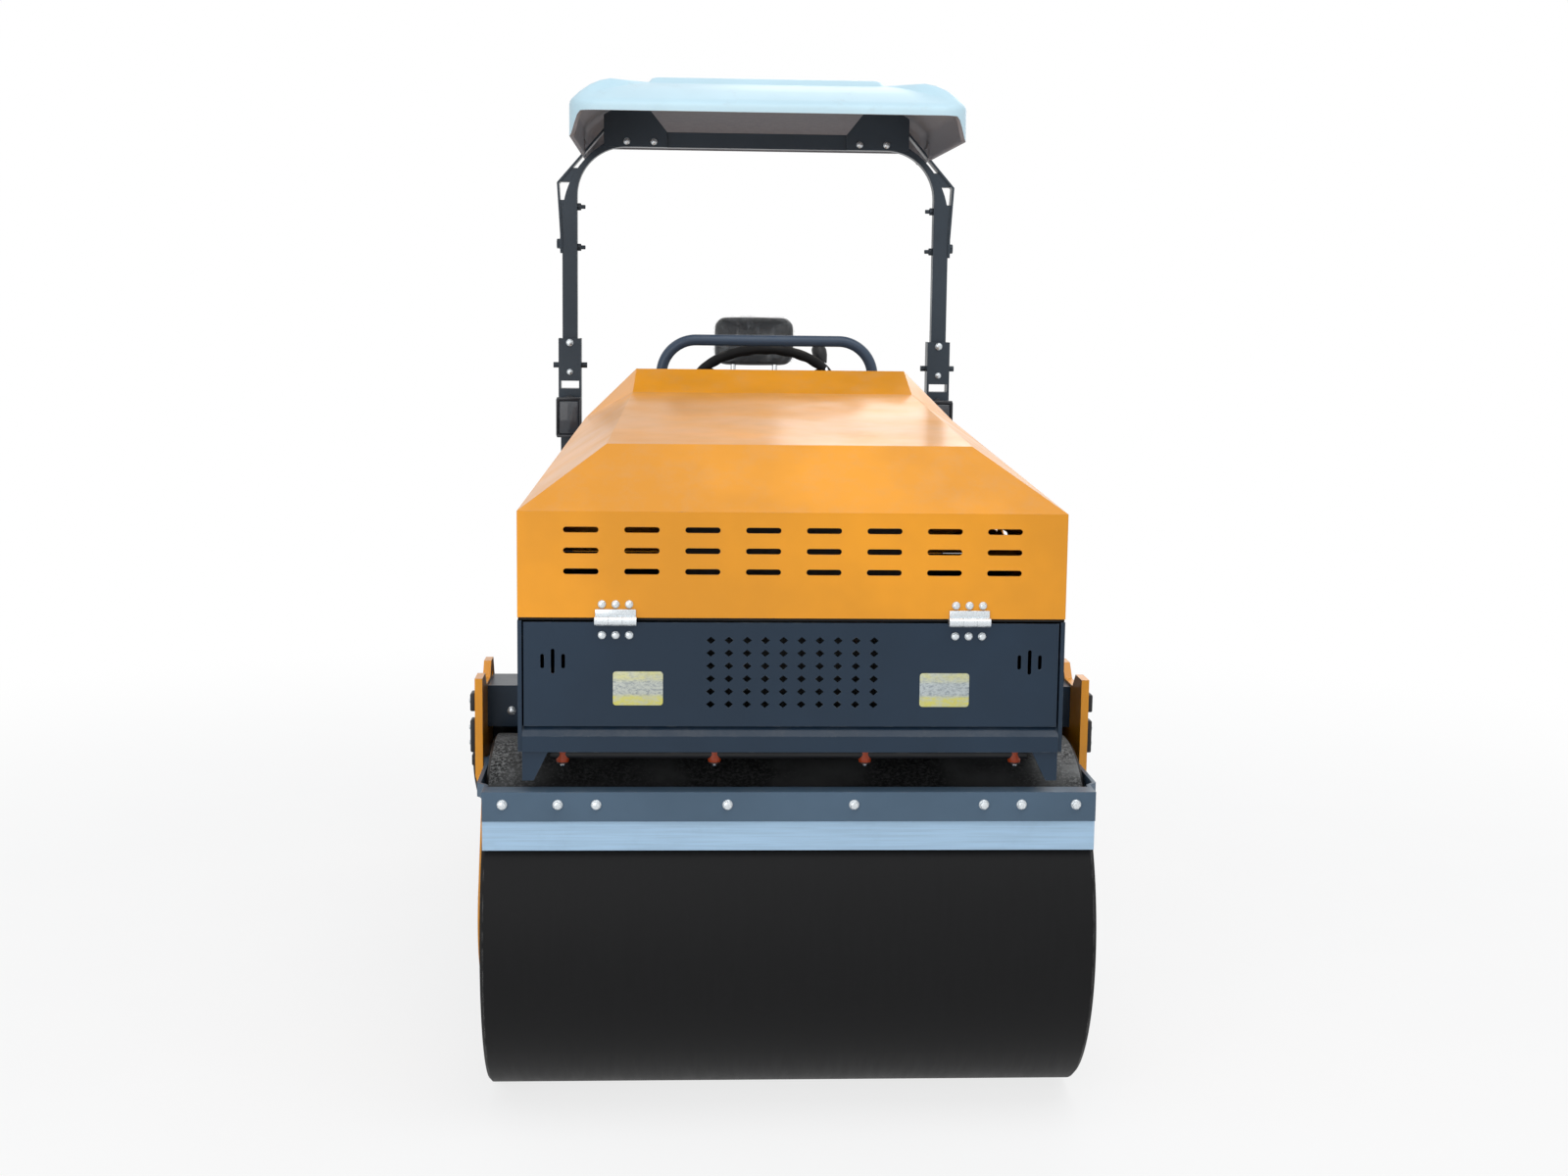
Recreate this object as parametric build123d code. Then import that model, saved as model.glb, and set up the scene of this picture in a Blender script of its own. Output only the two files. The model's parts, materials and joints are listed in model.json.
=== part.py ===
"""Ride-on tandem road roller: two smooth drums, an engine end and a driver's end hinged at the middle.

Millimetres, +Z up. The origin is on the ground under the centre pivot. The engine end faces -Y.
Both ends carry the same drum gear, so the rear one is the front one turned half round about Z.
"""

from build123d import *
import math
import os

# ---- layout ----
WHEELBASE = 1750.0
DRUM_WIDTH = 1200.0
DRUM_RADIUS = 360.0
BODY_HALF = 527.0  # half width over the engine end's side walls
REAR_HALF = 500.0  # the same over the driver's end
BODY_END = 1190.0  # from the pivot to the flat end of either body
BODY_REAR = 125.0  # from the pivot to the engine end's back wall
STEER_DEG = 30.0

# ---- drum ----
SHELL_WALL = 18.0
HEAD_RECESS = 90.0
HEAD_WALL = 14.0
HEAD_FLANGE_RADIUS = 120.0
HEAD_FLANGE = 10.0
AXLE_RADIUS = 35.0
EDGE_CHAMFER = 6.0

# ---- drum carriers ----
DRUM_SIDE_GAP = 6.0  # drum end to carrier plate
CARRIER_PLATE = 16.0
CARRIER_STEP = 14.0  # how far the top of a carrier stands out from its foot
CARRIER_STEP_LOW = 601.0
CARRIER_STEP_HIGH = 644.0
CARRIER_TOP = 846.0
CARRIER_DIP = 816.0
CARRIER_FRONT = 25.0  # from the axle away from the pivot
CARRIER_BACK = 290.0  # from the axle towards the pivot
CARRIER_FOOT_RADIUS = 150.0
LIFT_EYE_RADIUS = 45.0
LIFT_HOLE_RADIUS = 20.0
LIFT_EYE_SHIFT = 215.0  # from the axle towards the pivot
LIFT_EYE_Z = 801.0
HOUSING_RADIUS = 100.0
HOUSING_GAP = 6.0  # between the fixed housing and the turning head flange
RUNNING_GAP = 0.3
MOTOR_RADIUS = 78.0
MOTOR_CAP = 2.0
MOTOR_ROUND = 1.5

# ---- body tubs ----
WALL = 8.0
TUB_BOTTOM = 757.0
DECK = 12.0
FRONT_WALL_TOP = 1012.0
REAR_WALL_TOP = 880.0
LIP_TOP = 806.0
LIP_DEPTH = 46.0
LIP_PROUD = 6.0
LIP_CHAMFER = 18.0
LEG_DROP = 57.0
LEG_TOP_WIDTH = 50.0
LEG_FOOT_WIDTH = 22.0
LEG_PLATE = 10.0
ARM_BOTTOM = 722.0
ARM_TOP = 810.0
ARM_HALF_DEPTH = 70.0
ARM_SHIFT = 165.0  # from the axle towards the pivot
ARM_WEB = 10.0
ARM_WEB_BOTTOM = 655.0
PANEL_SHEET = 4.0
PANEL_RECESS = 3.0
PANEL_GAP = 3.0
GRILLE_COLUMNS = 10
GRILLE_ROWS = 6
GRILLE_PITCH_X = 35.0
GRILLE_PITCH_Z = 25.0
GRILLE_HOLE_WIDTH = 17.0
GRILLE_HOLE_HEIGHT = 14.0
GRILLE_Z = 912.0
HORN_SLOT_X = 460.0
HORN_SLOT_PITCH = 20.0
HORN_SLOT_WIDTH = 7.0
HORN_SLOT_Z = 933.0
HORN_SLOT_LONG = 48.0
HORN_SLOT_SHORT = 28.0

# ---- hood ----
HOOD_SHEET = 4.0
HOOD_BOTTOM = 1018.0
HOOD_FRONT_BREAK = 1222.0
HOOD_RIDGE_Z = 1339.0
HOOD_RIDGE_BACK = 170.0  # from the flat front to the ridge
HOOD_RIDGE_HALF = 362.0
HOOD_REAR_TOP = 1456.0
HOOD_CREST_Y = -250.0  # where the roof turns up towards the back
HOOD_CREST_Z = 1406.0
HOOD_CREST_HALF = 326.0
HOOD_REAR_HALF = 320.0
HOOD_FOLD_HALF = 440.0  # where the side's fold meets the back
VENT_LENGTH = 67.0
VENT_HEIGHT = 11.0
VENT_PITCH_X = 116.0
VENT_PITCH_Z = 40.0
VENT_COLUMNS = 8
VENT_ROWS = 3
VENT_Z = 1147.0
SIDE_VENT_COLUMNS = 4
SIDE_VENT_Y = -420.0
HOOD_TILT_DEG = 75.0

# ---- hood hinges ----
HINGE_X = 340.0
HINGE_WIDTH = 80.0
HINGE_OFFSET = 10.0  # knuckle centre in front of the sheet
HINGE_Z = 1013.0
KNUCKLE_RADIUS = 9.0
HINGE_PIN_RADIUS = 4.0
LEAF = 3.0
LEAF_REACH = 42.0

# ---- engine ----
ENGINE_HALF = 260.0
ENGINE_FRONT = -1040.0
ENGINE_BACK = -400.0
ENGINE_TOP = 1210.0

# ---- scrapers and spray bars ----
BEAM_INSET = 3.0  # short of the drum's ends
BEAM_SHEET = 6.0
BEAM_BOTTOM = 620.0
BEAM_TOP = 678.0
BEAM_FLANGE = 40.0
BLADE = 8.0
BLADE_TIP_Z = 561.0
BLADE_TOP_Z = 646.0
BLADE_GAP = 6.0  # tip of the blade to the drum
SCRAPER_ARM = 8.0
SCRAPER_ARM_OUT = 5.0  # drum end to arm
SCRAPER_BEND = 78.0  # from the blade's front to where the arm is out past the drum's end
SCRAPER_JOGGLE = 22.0
SCRAPER_ARM_GAP = 6.0  # from a carrier's bend to the arm
SCRAPER_SPACER_RADIUS = 13.0
PIPE_RADIUS = 11.0
PIPE_Z = 741.0
PIPE_SETBACK = 60.0
NOZZLE_PITCH = 296.0
NOZZLE_COUNT = 4
NOZZLE_RADIUS = 12.0
NOZZLE_LENGTH = 19.0
NOZZLE_TIP = 6.0
HANGER_X = 222.0
HANGER_WIDTH = 24.0

# ---- centre pivot ----
BULKHEAD_FACE = 464.0
BULKHEAD = 16.0
BULKHEAD_HALF = 430.0
BULKHEAD_BOTTOM = 330.0
RIB_X = 148.0
RIB = 16.0
RIB_REACH = 214.0
RIB_NOSE = 40.0
LUG = 25.0
LUG_ROOT_HALF = 220.0
LUG_RADIUS = 70.0
LUG_LOW_Z = 365.0
LUG_HIGH_Z = 600.0
PIVOT_RADIUS = 25.0
PIVOT_HEAD_RADIUS = 42.0
PIVOT_HEAD = 12.0
PIVOT_TAIL = 15.0
BOSS_RADIUS = 60.0
BOSS_GAP = 3.0
TONGUE_HALF = 50.0
TONGUE_MARGIN = 8.0

# ---- steering cylinder ----
CYL_X = 250.0
CYL_Y = 300.0
CYL_Z = 495.0
CYL_BARREL_RADIUS = 38.0
CYL_BORE_RADIUS = 30.0
CYL_BARREL = 370.0
CYL_BASE = 55.0
CYL_GLAND = 20.0
CYL_ROD_RADIUS = 18.0
CYL_ROD = 405.0
CYL_PISTON = 20.0
CYL_GAP = 0.5
EYE_RADIUS = 32.0
EYE_THICK = 40.0
EYE_PIN_RADIUS = 14.0
CLEVIS_GAP = 3.0
CLEVIS = 14.0
CLEVIS_HALF = 32.0

# ---- driver's floor ----
FLOOR_Z = 680.0
FLOOR = 6.0
FLOOR_HALF = 500.0
FLOOR_FRONT = 30.0
FLOOR_BEAM_X = 230.0
FLOOR_BEAM_WIDTH = 50.0
FLOOR_BEAM_HEIGHT = 36.0
STEP_Y = 160.0
STEP_LENGTH = 240.0
STEP_Z = 380.0
STEP_OUT = 590.0
STEP_STRAP = 40.0
STEP_SHEET = 8.0

# ---- console ----
CONSOLE_HALF = 240.0
CONSOLE_FRONT = 42.0
CONSOLE_DEPTH = 165.0
CONSOLE_FLAT = 50.0
CONSOLE_BACK_Z = 1290.0
CONSOLE_FRONT_Z = 1400.0
RAIL_RADIUS = 13.5
RAIL_HALF = 261.5
RAIL_Y = 62.0
RAIL_TOP = 1521.5
RAIL_FOOT = 1240.0
RAIL_BEND = 85.0
RAIL_PAD = 40.0
WHEEL_Y = 300.0
WHEEL_Z = 1390.0
WHEEL_RADIUS = 180.0
WHEEL_RIM = 13.0
WHEEL_TILT = 37.0
WHEEL_HUB_RADIUS = 45.0
WHEEL_HUB = 34.0
SPOKE_COUNT = 3
SPOKE_WIDTH = 30.0
SPOKE = 8.0
COLUMN_RADIUS = 24.0

# ---- water tank and seat ----
TANK_FRONT = 500.0
TANK_TOP = 1000.0
TANK_SIDE_GAP = 6.0
TANK_SHOULDER = 884.0
TANK_SLOPE = 150.0
TANK_DROP = 70.0
TANK_CHAMFER = 55.0
SEAT_BASE_HALF = 190.0
SEAT_BASE_FRONT = 500.0
SEAT_BASE_DEPTH = 440.0
SEAT_BASE_HEIGHT = 70.0
CUSHION_HALF = 225.0
CUSHION_FRONT = 440.0
CUSHION_DEPTH = 400.0
CUSHION = 90.0
CUSHION_ROUND = 30.0
CUSHION_SINK = 60.0  # how far the backrest reaches below the cushion's top
BACK_HALF = 210.0
BACK_LEAN = 8.0
BACK_FOOT_Y = 845.0
BACK_HEIGHT = 290.0
BACK = 85.0
BRACKET_HALF = 90.0
BRACKET = 8.0
BRACKET_DROP = 35.0
BRACKET_HEIGHT = 160.0
HEADREST_HALF = 120.0
HEADREST_BOTTOM = 1433.0
HEADREST_TOP = 1581.0
HEADREST = 80.0
HEADREST_POST_RADIUS = 8.0
HEADREST_POST_X = 60.0

# ---- roll bar ----
POST = 42.0
POST_Y = 890.0
CHANNEL_GAP = 5.0
CHANNEL = 6.0
CHANNEL_FRONT_BOTTOM = 1386.0
CHANNEL_TOP = 1506.0
CHANNEL_LAP = 60.0
STUB_TOP = 1364.0
FOOT_BOTTOM = 830.0
FOOT_PLATE = 12.0
FOOT_PLATE_HALF = 70.0
FOOT_PLATE_TOP = 876.0
FOLD_Z = 1430.0
FOLD_PIN_RADIUS = 8.0
FOLD_PIN_OUT = 16.0
FOLD_DEG = 90.0
POST_JOINT_Z = 1795.0
ARCH_Z = 2084.0
ARCH_BEND = 240.0
ARCH_BEND_INSIDE = 135.0
STRAP = 6.0
STRAP_OUT = 9.0  # how far the knee of the strap stands out from the post
STRAP_KNEE_Z = 1939.0
STRAP_FOOT_Z = 1745.0
STRAP_END_IN = 117.0  # from the post's face to the strap's end on the gusset
STRAP_WIDTH = 50.0
PACKING_TOP = 1893.0
CORNER_PACKING_BOTTOM = 1943.0
CORNER_PACKING_TOP = 1982.0
GUSSET = 8.0
GUSSET_OUT_IN = 117.0  # from the post's face to the plate's outer edge
GUSSET_HEAD_IN = 238.0
GUSSET_FOOT_IN = 294.0
GUSSET_CUT_X = 40.0
GUSSET_CUT_Z = 24.0
LAMP_HALF = 35.0
LAMP_BOTTOM = 1231.0
LAMP_HEIGHT = 110.0
LAMP_DEPTH = 50.0
LAMP_ROUND = 22.0
LAMP_STEM = 16.0
LAMP_STEM_RADIUS = 12.0

# ---- canopy ----
CANOPY_HALF = 491.0
CANOPY_FRONT = 60.0
CANOPY_BACK = 1130.0
CANOPY_RISE = 76.0  # roof above the arch
CROWN = 15.0
CANOPY_SKIRT_DEPTH = 144.0
CANOPY_FRONT_DEPTH = 86.0
CANOPY_BACK_DEPTH = 108.0
CANOPY_SHEET = 6.0
CANOPY_CORNER = 95.0
CANOPY_ROUND = 84.0
CANOPY_TAPER = 70.0  # length over which a side skirt drops to its full depth
CANOPY_SLIT_HALF = 45.0  # gap in the side skirts for the arch
CANOPY_SLIT_DEPTH = 62.0  # below the roof
CROWN_HALF = 300.0
CROWN_MARGIN = 190.0

AXLE_Y = WHEELBASE / 2
DRUM_END = DRUM_WIDTH / 2
BEAM_HALF = DRUM_END - BEAM_INSET
FOOT_IN = DRUM_END + DRUM_SIDE_GAP
FOOT_OUT = FOOT_IN + CARRIER_PLATE
SHOULDER_IN = FOOT_IN + CARRIER_STEP
SHOULDER_OUT = SHOULDER_IN + CARRIER_PLATE
POST_X = REAR_HALF + POST / 2 + CHANNEL_GAP
ARCH_HALF = POST_X + POST / 2
DECK_TOP = TUB_BOTTOM + DECK
CANOPY_ROOF = ARCH_Z + CANOPY_RISE
CANOPY_SKIRT = CANOPY_ROOF - CANOPY_SKIRT_DEPTH


# ---- helpers ----
def block(x, y, z):
    """A box between pairs of limits."""
    size = (x[1] - x[0], y[1] - y[0], z[1] - z[0])
    return Pos((x[0] + x[1]) / 2, (y[0] + y[1]) / 2, (z[0] + z[1]) / 2) * Box(*size)


def outline(points):
    return make_face(Polyline(*points, close=True))


def prism_x(points, x):
    """Outline of (y, z) points between two x limits."""
    face = Pos(x[0], 0, 0) * (Plane.YZ * outline(points))
    return extrude(face, x[1] - x[0], dir=(1, 0, 0))


def prism_y(points, y):
    """Outline of (x, z) points between two y limits."""
    face = Pos(0, y[0], 0) * (Plane.XZ * outline(points))
    return extrude(face, y[1] - y[0], dir=(0, 1, 0))


def prism_z(points, z):
    """Outline of (x, y) points between two z limits."""
    return extrude(Pos(0, 0, z[0]) * outline(points), z[1] - z[0], dir=(0, 0, 1))


def rod_x(radius, x, y, z):
    return Pos((x[0] + x[1]) / 2, y, z) * Rot(0, 90, 0) * Cylinder(radius, abs(x[1] - x[0]))


def rod_y(radius, x, y, z):
    return Pos(x, (y[0] + y[1]) / 2, z) * Rot(90, 0, 0) * Cylinder(radius, y[1] - y[0])


def rod_z(radius, x, y, z):
    return Pos(x, y, (z[0] + z[1]) / 2) * Cylinder(radius, z[1] - z[0])


def mirrored(shape):
    """The same piece on the other side of the machine."""
    return mirror(shape, about=Plane.YZ)


def pair(shape):
    return Compound(children=[shape, mirrored(shape)])


def turned(shape):
    """The same piece at the other end of the machine."""
    return Rot(0, 0, 180) * shape


def centred(count, pitch):
    """Positions of a row of like things about zero."""
    return [(i - (count - 1) / 2) * pitch for i in range(count)]


# ---- drum gear, drawn at the front ----
def drum_shell():
    tube = rod_x(DRUM_RADIUS, (-DRUM_END, DRUM_END), -AXLE_Y, DRUM_RADIUS)
    tube = chamfer(tube.edges().filter_by(GeomType.CIRCLE), EDGE_CHAMFER)
    return tube - rod_x(DRUM_RADIUS - SHELL_WALL, (-DRUM_END, DRUM_END), -AXLE_Y, DRUM_RADIUS)


def drum_heads():
    """The two recessed heads on the axle that turns with the drum."""
    outer = DRUM_END - HEAD_RECESS
    disc = rod_x(DRUM_RADIUS - SHELL_WALL, (outer - HEAD_WALL, outer), -AXLE_Y, DRUM_RADIUS)
    flange = rod_x(HEAD_FLANGE_RADIUS, (outer, outer + HEAD_FLANGE), -AXLE_Y, DRUM_RADIUS)
    axle = rod_x(AXLE_RADIUS, (-DRUM_END, DRUM_END), -AXLE_Y, DRUM_RADIUS)
    return axle + disc + flange + mirrored(disc + flange)


def carrier():
    """Side plate that steps inwards below the arm and ends round the axle."""
    section = [
        (FOOT_IN, 0), (FOOT_IN, CARRIER_STEP_LOW), (SHOULDER_IN, CARRIER_STEP_HIGH), (SHOULDER_IN, CARRIER_TOP),
        (SHOULDER_OUT, CARRIER_TOP), (SHOULDER_OUT, CARRIER_STEP_HIGH), (FOOT_OUT, CARRIER_STEP_LOW), (FOOT_OUT, 0),
    ]
    strip = prism_y(section, (-AXLE_Y - CARRIER_FOOT_RADIUS, -AXLE_Y + CARRIER_BACK))
    waist = CARRIER_FOOT_RADIUS * math.cos(math.radians(20))
    waist_z = DRUM_RADIUS + CARRIER_FOOT_RADIUS * math.sin(math.radians(20))
    lobe = LIFT_EYE_RADIUS
    eye = -AXLE_Y + LIFT_EYE_SHIFT
    nose = -AXLE_Y - CARRIER_FRONT
    shape = prism_x(
        [
            (-AXLE_Y - waist, waist_z), (nose, CARRIER_STEP_HIGH), (nose, CARRIER_TOP), (nose + 1.5 * lobe, CARRIER_TOP),
            (nose + 2.2 * lobe, CARRIER_DIP), (eye - 1.2 * lobe, CARRIER_DIP), (eye - 0.5 * lobe, CARRIER_TOP),
            (eye + 0.6 * lobe, CARRIER_TOP), (-AXLE_Y + CARRIER_BACK, CARRIER_DIP - lobe),
            (-AXLE_Y + CARRIER_BACK, CARRIER_STEP_HIGH), (-AXLE_Y + waist, waist_z),
        ],
        (FOOT_IN, SHOULDER_OUT),
    )
    shape += rod_x(CARRIER_FOOT_RADIUS, (FOOT_IN, SHOULDER_OUT), -AXLE_Y, DRUM_RADIUS)
    plate = strip & shape
    plate -= rod_x(LIFT_HOLE_RADIUS, (FOOT_IN, SHOULDER_OUT), eye, LIFT_EYE_Z)
    return plate - rod_x(MOTOR_RADIUS, (FOOT_IN, SHOULDER_OUT), -AXLE_Y, DRUM_RADIUS)


def housing():
    """Drive motor held in a carrier: a bearing flange in the drum's recess and a round end outside."""
    inner = DRUM_END - HEAD_RECESS + HEAD_FLANGE + HOUSING_GAP
    outer = FOOT_OUT + MOTOR_CAP
    body = rod_x(MOTOR_RADIUS, (inner, outer), -AXLE_Y, DRUM_RADIUS)
    body = fillet(body.edges().filter_by(GeomType.CIRCLE).sort_by(Axis.X)[-1:], MOTOR_ROUND)
    body += rod_x(HOUSING_RADIUS, (inner, FOOT_IN), -AXLE_Y, DRUM_RADIUS)
    return body - rod_x(AXLE_RADIUS + RUNNING_GAP, (inner, FOOT_IN), -AXLE_Y, DRUM_RADIUS)


def side_walls(half, inner_end, top):
    wall = block((half - WALL, half), (-BODY_END, -inner_end), (TUB_BOTTOM, top))
    middle = -AXLE_Y + ARM_SHIFT
    end = middle + ARM_HALF_DEPTH
    arm = block((half, SHOULDER_IN), (middle - ARM_HALF_DEPTH, end), (ARM_BOTTOM, ARM_TOP))
    web = block((half, SHOULDER_IN), (end - ARM_WEB, end), (ARM_WEB_BOTTOM, ARM_BOTTOM))
    return pair(wall + arm + web)


def deck(half, inner_end):
    """Floor of a body with its chamfered end member and the two gusset legs."""
    inside = half - WALL
    plate = block((-inside, inside), (-BODY_END, -inner_end), (TUB_BOTTOM, DECK_TOP))
    lip = block((-inside, inside), (-BODY_END - LIP_PROUD, -BODY_END + LIP_DEPTH), (TUB_BOTTOM, LIP_TOP))
    lip = chamfer(lip.edges().filter_by(Axis.X).group_by(Axis.Y)[0].sort_by(Axis.Z)[-1:], LIP_CHAMFER)
    leg = prism_y(
        [
            (inside, TUB_BOTTOM), (inside, TUB_BOTTOM - LEG_DROP),
            (inside - LEG_FOOT_WIDTH, TUB_BOTTOM - LEG_DROP), (inside - LEG_TOP_WIDTH, TUB_BOTTOM),
        ],
        (-BODY_END, -BODY_END + LEG_PLATE),
    )
    return plate + lip + leg + mirrored(leg)


def blade_y():
    """Inner face of a scraper blade, set by its tip's gap to the drum."""
    reach = DRUM_RADIUS + BLADE_GAP
    return -AXLE_Y - math.sqrt(reach**2 - (BLADE_TIP_Z - DRUM_RADIUS) ** 2)


def scraper_beam():
    """Angle across the drum's face on two arms that step out past the drum's ends."""
    back = blade_y() - BLADE
    face = block((-BEAM_HALF, BEAM_HALF), (back - BEAM_SHEET, back), (BEAM_BOTTOM, BEAM_TOP))
    flange = block((-BEAM_HALF, BEAM_HALF), (back, back + BEAM_FLANGE), (BEAM_TOP - BEAM_SHEET, BEAM_TOP))
    bolt_y = -AXLE_Y
    arm_z = (CARRIER_STEP_HIGH + SCRAPER_ARM_GAP, BEAM_TOP)
    end = bolt_y + SCRAPER_SPACER_RADIUS
    bend = back + SCRAPER_BEND
    inner = DRUM_END + SCRAPER_ARM_OUT
    outer = inner + SCRAPER_ARM
    arm = prism_z(
        [
            (inner, end), (inner, bend), (BEAM_HALF - SCRAPER_ARM, bend - SCRAPER_JOGGLE),
            (BEAM_HALF - SCRAPER_ARM, back), (BEAM_HALF, back), (BEAM_HALF, bend - SCRAPER_JOGGLE),
            (outer, bend), (outer, end),
        ],
        arm_z,
    )
    spacer = rod_x(SCRAPER_SPACER_RADIUS, (outer, SHOULDER_IN), bolt_y, sum(arm_z) / 2)
    side = arm + spacer
    return face + flange + side + mirrored(side)


def scraper_blade():
    face = blade_y()
    return block((-BEAM_HALF, BEAM_HALF), (face - BLADE, face), (BLADE_TIP_Z, BLADE_TOP_Z))


def spray_bar():
    """Water pipe under the end member with its nozzles clamped round it."""
    y = -BODY_END + PIPE_SETBACK
    reach = (NOZZLE_COUNT - 1) / 2 * NOZZLE_PITCH + 2 * NOZZLE_RADIUS
    bar = rod_x(PIPE_RADIUS, (-reach, reach), y, PIPE_Z)
    hanger = block((HANGER_X - HANGER_WIDTH / 2, HANGER_X + HANGER_WIDTH / 2),
                   (y - PIPE_RADIUS, y + PIPE_RADIUS), (PIPE_Z, TUB_BOTTOM))
    bar = bar + hanger + mirrored(hanger)
    low = PIPE_Z - NOZZLE_LENGTH
    for x in centred(NOZZLE_COUNT, NOZZLE_PITCH):
        bar += rod_z(NOZZLE_RADIUS, x, y, (low, PIPE_Z))
        bar += rod_z(NOZZLE_RADIUS / 2, x, y, (low - NOZZLE_TIP, low))
    return bar


def bulkhead(rib_top):
    """Cross plate under a body with two ribs towards the pivot."""
    plate = block((-BULKHEAD_HALF, BULKHEAD_HALF), (-BULKHEAD_FACE - BULKHEAD, -BULKHEAD_FACE),
                  (BULKHEAD_BOTTOM, TUB_BOTTOM))
    tip = -BULKHEAD_FACE + RIB_REACH
    rib = prism_x(
        [
            (-BULKHEAD_FACE, BULKHEAD_BOTTOM), (-BULKHEAD_FACE, rib_top), (tip, rib_top), (tip, rib_top - RIB_NOSE),
            (-BULKHEAD_FACE + RIB_REACH / 2, BULKHEAD_BOTTOM),
        ],
        (RIB_X - RIB / 2, RIB_X + RIB / 2),
    )
    return plate + rib + mirrored(rib)


def clevis():
    """Two ears for a cylinder eye, drawn on the front bulkhead."""
    ears = Part()
    half = EYE_THICK / 2 + CLEVIS_GAP
    for low in (CYL_Z - half - CLEVIS, CYL_Z + half):
        ears += block((CYL_X - CLEVIS_HALF, CYL_X + CLEVIS_HALF), (-BULKHEAD_FACE, -CYL_Y), (low, low + CLEVIS))
        ears += rod_z(CLEVIS_HALF, CYL_X, -CYL_Y, (low, low + CLEVIS))
    return ears


def clevis_pin():
    reach = EYE_THICK / 2 + CLEVIS_GAP + CLEVIS
    return rod_z(EYE_PIN_RADIUS, CYL_X, -CYL_Y, (CYL_Z - reach, CYL_Z + reach))


# ---- engine end ----
def engine_yoke():
    """Bulkhead with the two pivot lugs and the barrel's clevis."""
    yoke = bulkhead(TUB_BOTTOM)
    tangent = math.radians(35)
    side = (LUG_RADIUS * math.cos(tangent), LUG_RADIUS * -math.sin(tangent))
    for low in (LUG_LOW_Z, LUG_HIGH_Z):
        lug = prism_z(
            [(-LUG_ROOT_HALF, -BULKHEAD_FACE), (LUG_ROOT_HALF, -BULKHEAD_FACE), side, (-side[0], side[1])],
            (low, low + LUG),
        )
        lug += rod_z(LUG_RADIUS, 0, 0, (low, low + LUG))
        yoke += lug
    yoke -= rod_z(PIVOT_RADIUS + RUNNING_GAP, 0, 0, (LUG_LOW_Z, LUG_HIGH_Z + LUG))
    return yoke + clevis() + clevis_pin()


def pivot_pin():
    top = LUG_HIGH_Z + LUG
    return rod_z(PIVOT_RADIUS, 0, 0, (LUG_LOW_Z - PIVOT_TAIL, top)) + rod_z(PIVOT_HEAD_RADIUS, 0, 0, (top, top + PIVOT_HEAD))


def tub_back():
    inside = BODY_HALF - WALL
    return block((-inside, inside), (-BODY_REAR - WALL, -BODY_REAR), (DECK_TOP, FRONT_WALL_TOP))


def front_panel():
    """Perforated sheet below the hood."""
    inside = BODY_HALF - WALL - PANEL_GAP
    face = -BODY_END + PANEL_RECESS
    low = LIP_TOP
    sheet = block((-inside, inside), (face, face + PANEL_SHEET), (low, FRONT_WALL_TOP - PANEL_GAP))
    flange = block((-inside, inside), (face, face + BEAM_FLANGE), (low, low + PANEL_SHEET))
    cutters = []
    half_w, half_h = GRILLE_HOLE_WIDTH / 2, GRILLE_HOLE_HEIGHT / 2
    for x in centred(GRILLE_COLUMNS, GRILLE_PITCH_X):
        for dz in centred(GRILLE_ROWS, GRILLE_PITCH_Z):
            z = GRILLE_Z + dz
            diamond = [(x - half_w, z), (x, z - half_h), (x + half_w, z), (x, z + half_h)]
            cutters.append(prism_y(diamond, (face, face + PANEL_SHEET)))
    for side in (-1, 1):
        for step, length in ((-1, HORN_SLOT_SHORT), (0, HORN_SLOT_LONG), (1, HORN_SLOT_SHORT)):
            x = side * HORN_SLOT_X + step * HORN_SLOT_PITCH
            slot = Pos(x, face, HORN_SLOT_Z) * (Plane.XZ * Rot(0, 0, 90) * SlotOverall(length, HORN_SLOT_WIDTH))
            cutters.append(extrude(slot, PANEL_SHEET, dir=(0, 1, 0)))
    return (sheet - cutters) + flange


def engine():
    return block((-ENGINE_HALF, ENGINE_HALF), (ENGINE_FRONT, ENGINE_BACK), (DECK_TOP, ENGINE_TOP))


def hinge(moving):
    """One hood hinge. The fixed half holds the pin between its two knuckles, the moving half the middle one."""
    face = -BODY_END
    axis_y = face - HINGE_OFFSET
    third = HINGE_WIDTH / 3
    inner = face + (HOOD_SHEET if moving else PANEL_RECESS + PANEL_SHEET)
    spans = [(-third / 2 + RUNNING_GAP, third / 2 - RUNNING_GAP)] if moving else [
        (-HINGE_WIDTH / 2, -third / 2), (third / 2, HINGE_WIDTH / 2)]
    tab_z = (HINGE_Z + 1, HOOD_BOTTOM - 1) if moving else (FRONT_WALL_TOP - PANEL_GAP, HINGE_Z - 1)
    leaf_z = (tab_z[0], HINGE_Z + LEAF_REACH) if moving else (HINGE_Z - LEAF_REACH, tab_z[1])
    half = Part()
    for low, high in spans:
        span = (HINGE_X + low, HINGE_X + high)
        half += rod_x(KNUCKLE_RADIUS, span, axis_y, HINGE_Z)
        half += block(span, (axis_y, inner + LEAF), tab_z)
    half += block((HINGE_X - HINGE_WIDTH / 2, HINGE_X + HINGE_WIDTH / 2), (inner, inner + LEAF), leaf_z)
    pin_span = (HINGE_X - HINGE_WIDTH / 2, HINGE_X + HINGE_WIDTH / 2)
    if moving:
        return half - rod_x(HINGE_PIN_RADIUS + RUNNING_GAP, pin_span, axis_y, HINGE_Z)
    return half + rod_x(HINGE_PIN_RADIUS, pin_span, axis_y, HINGE_Z)


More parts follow.
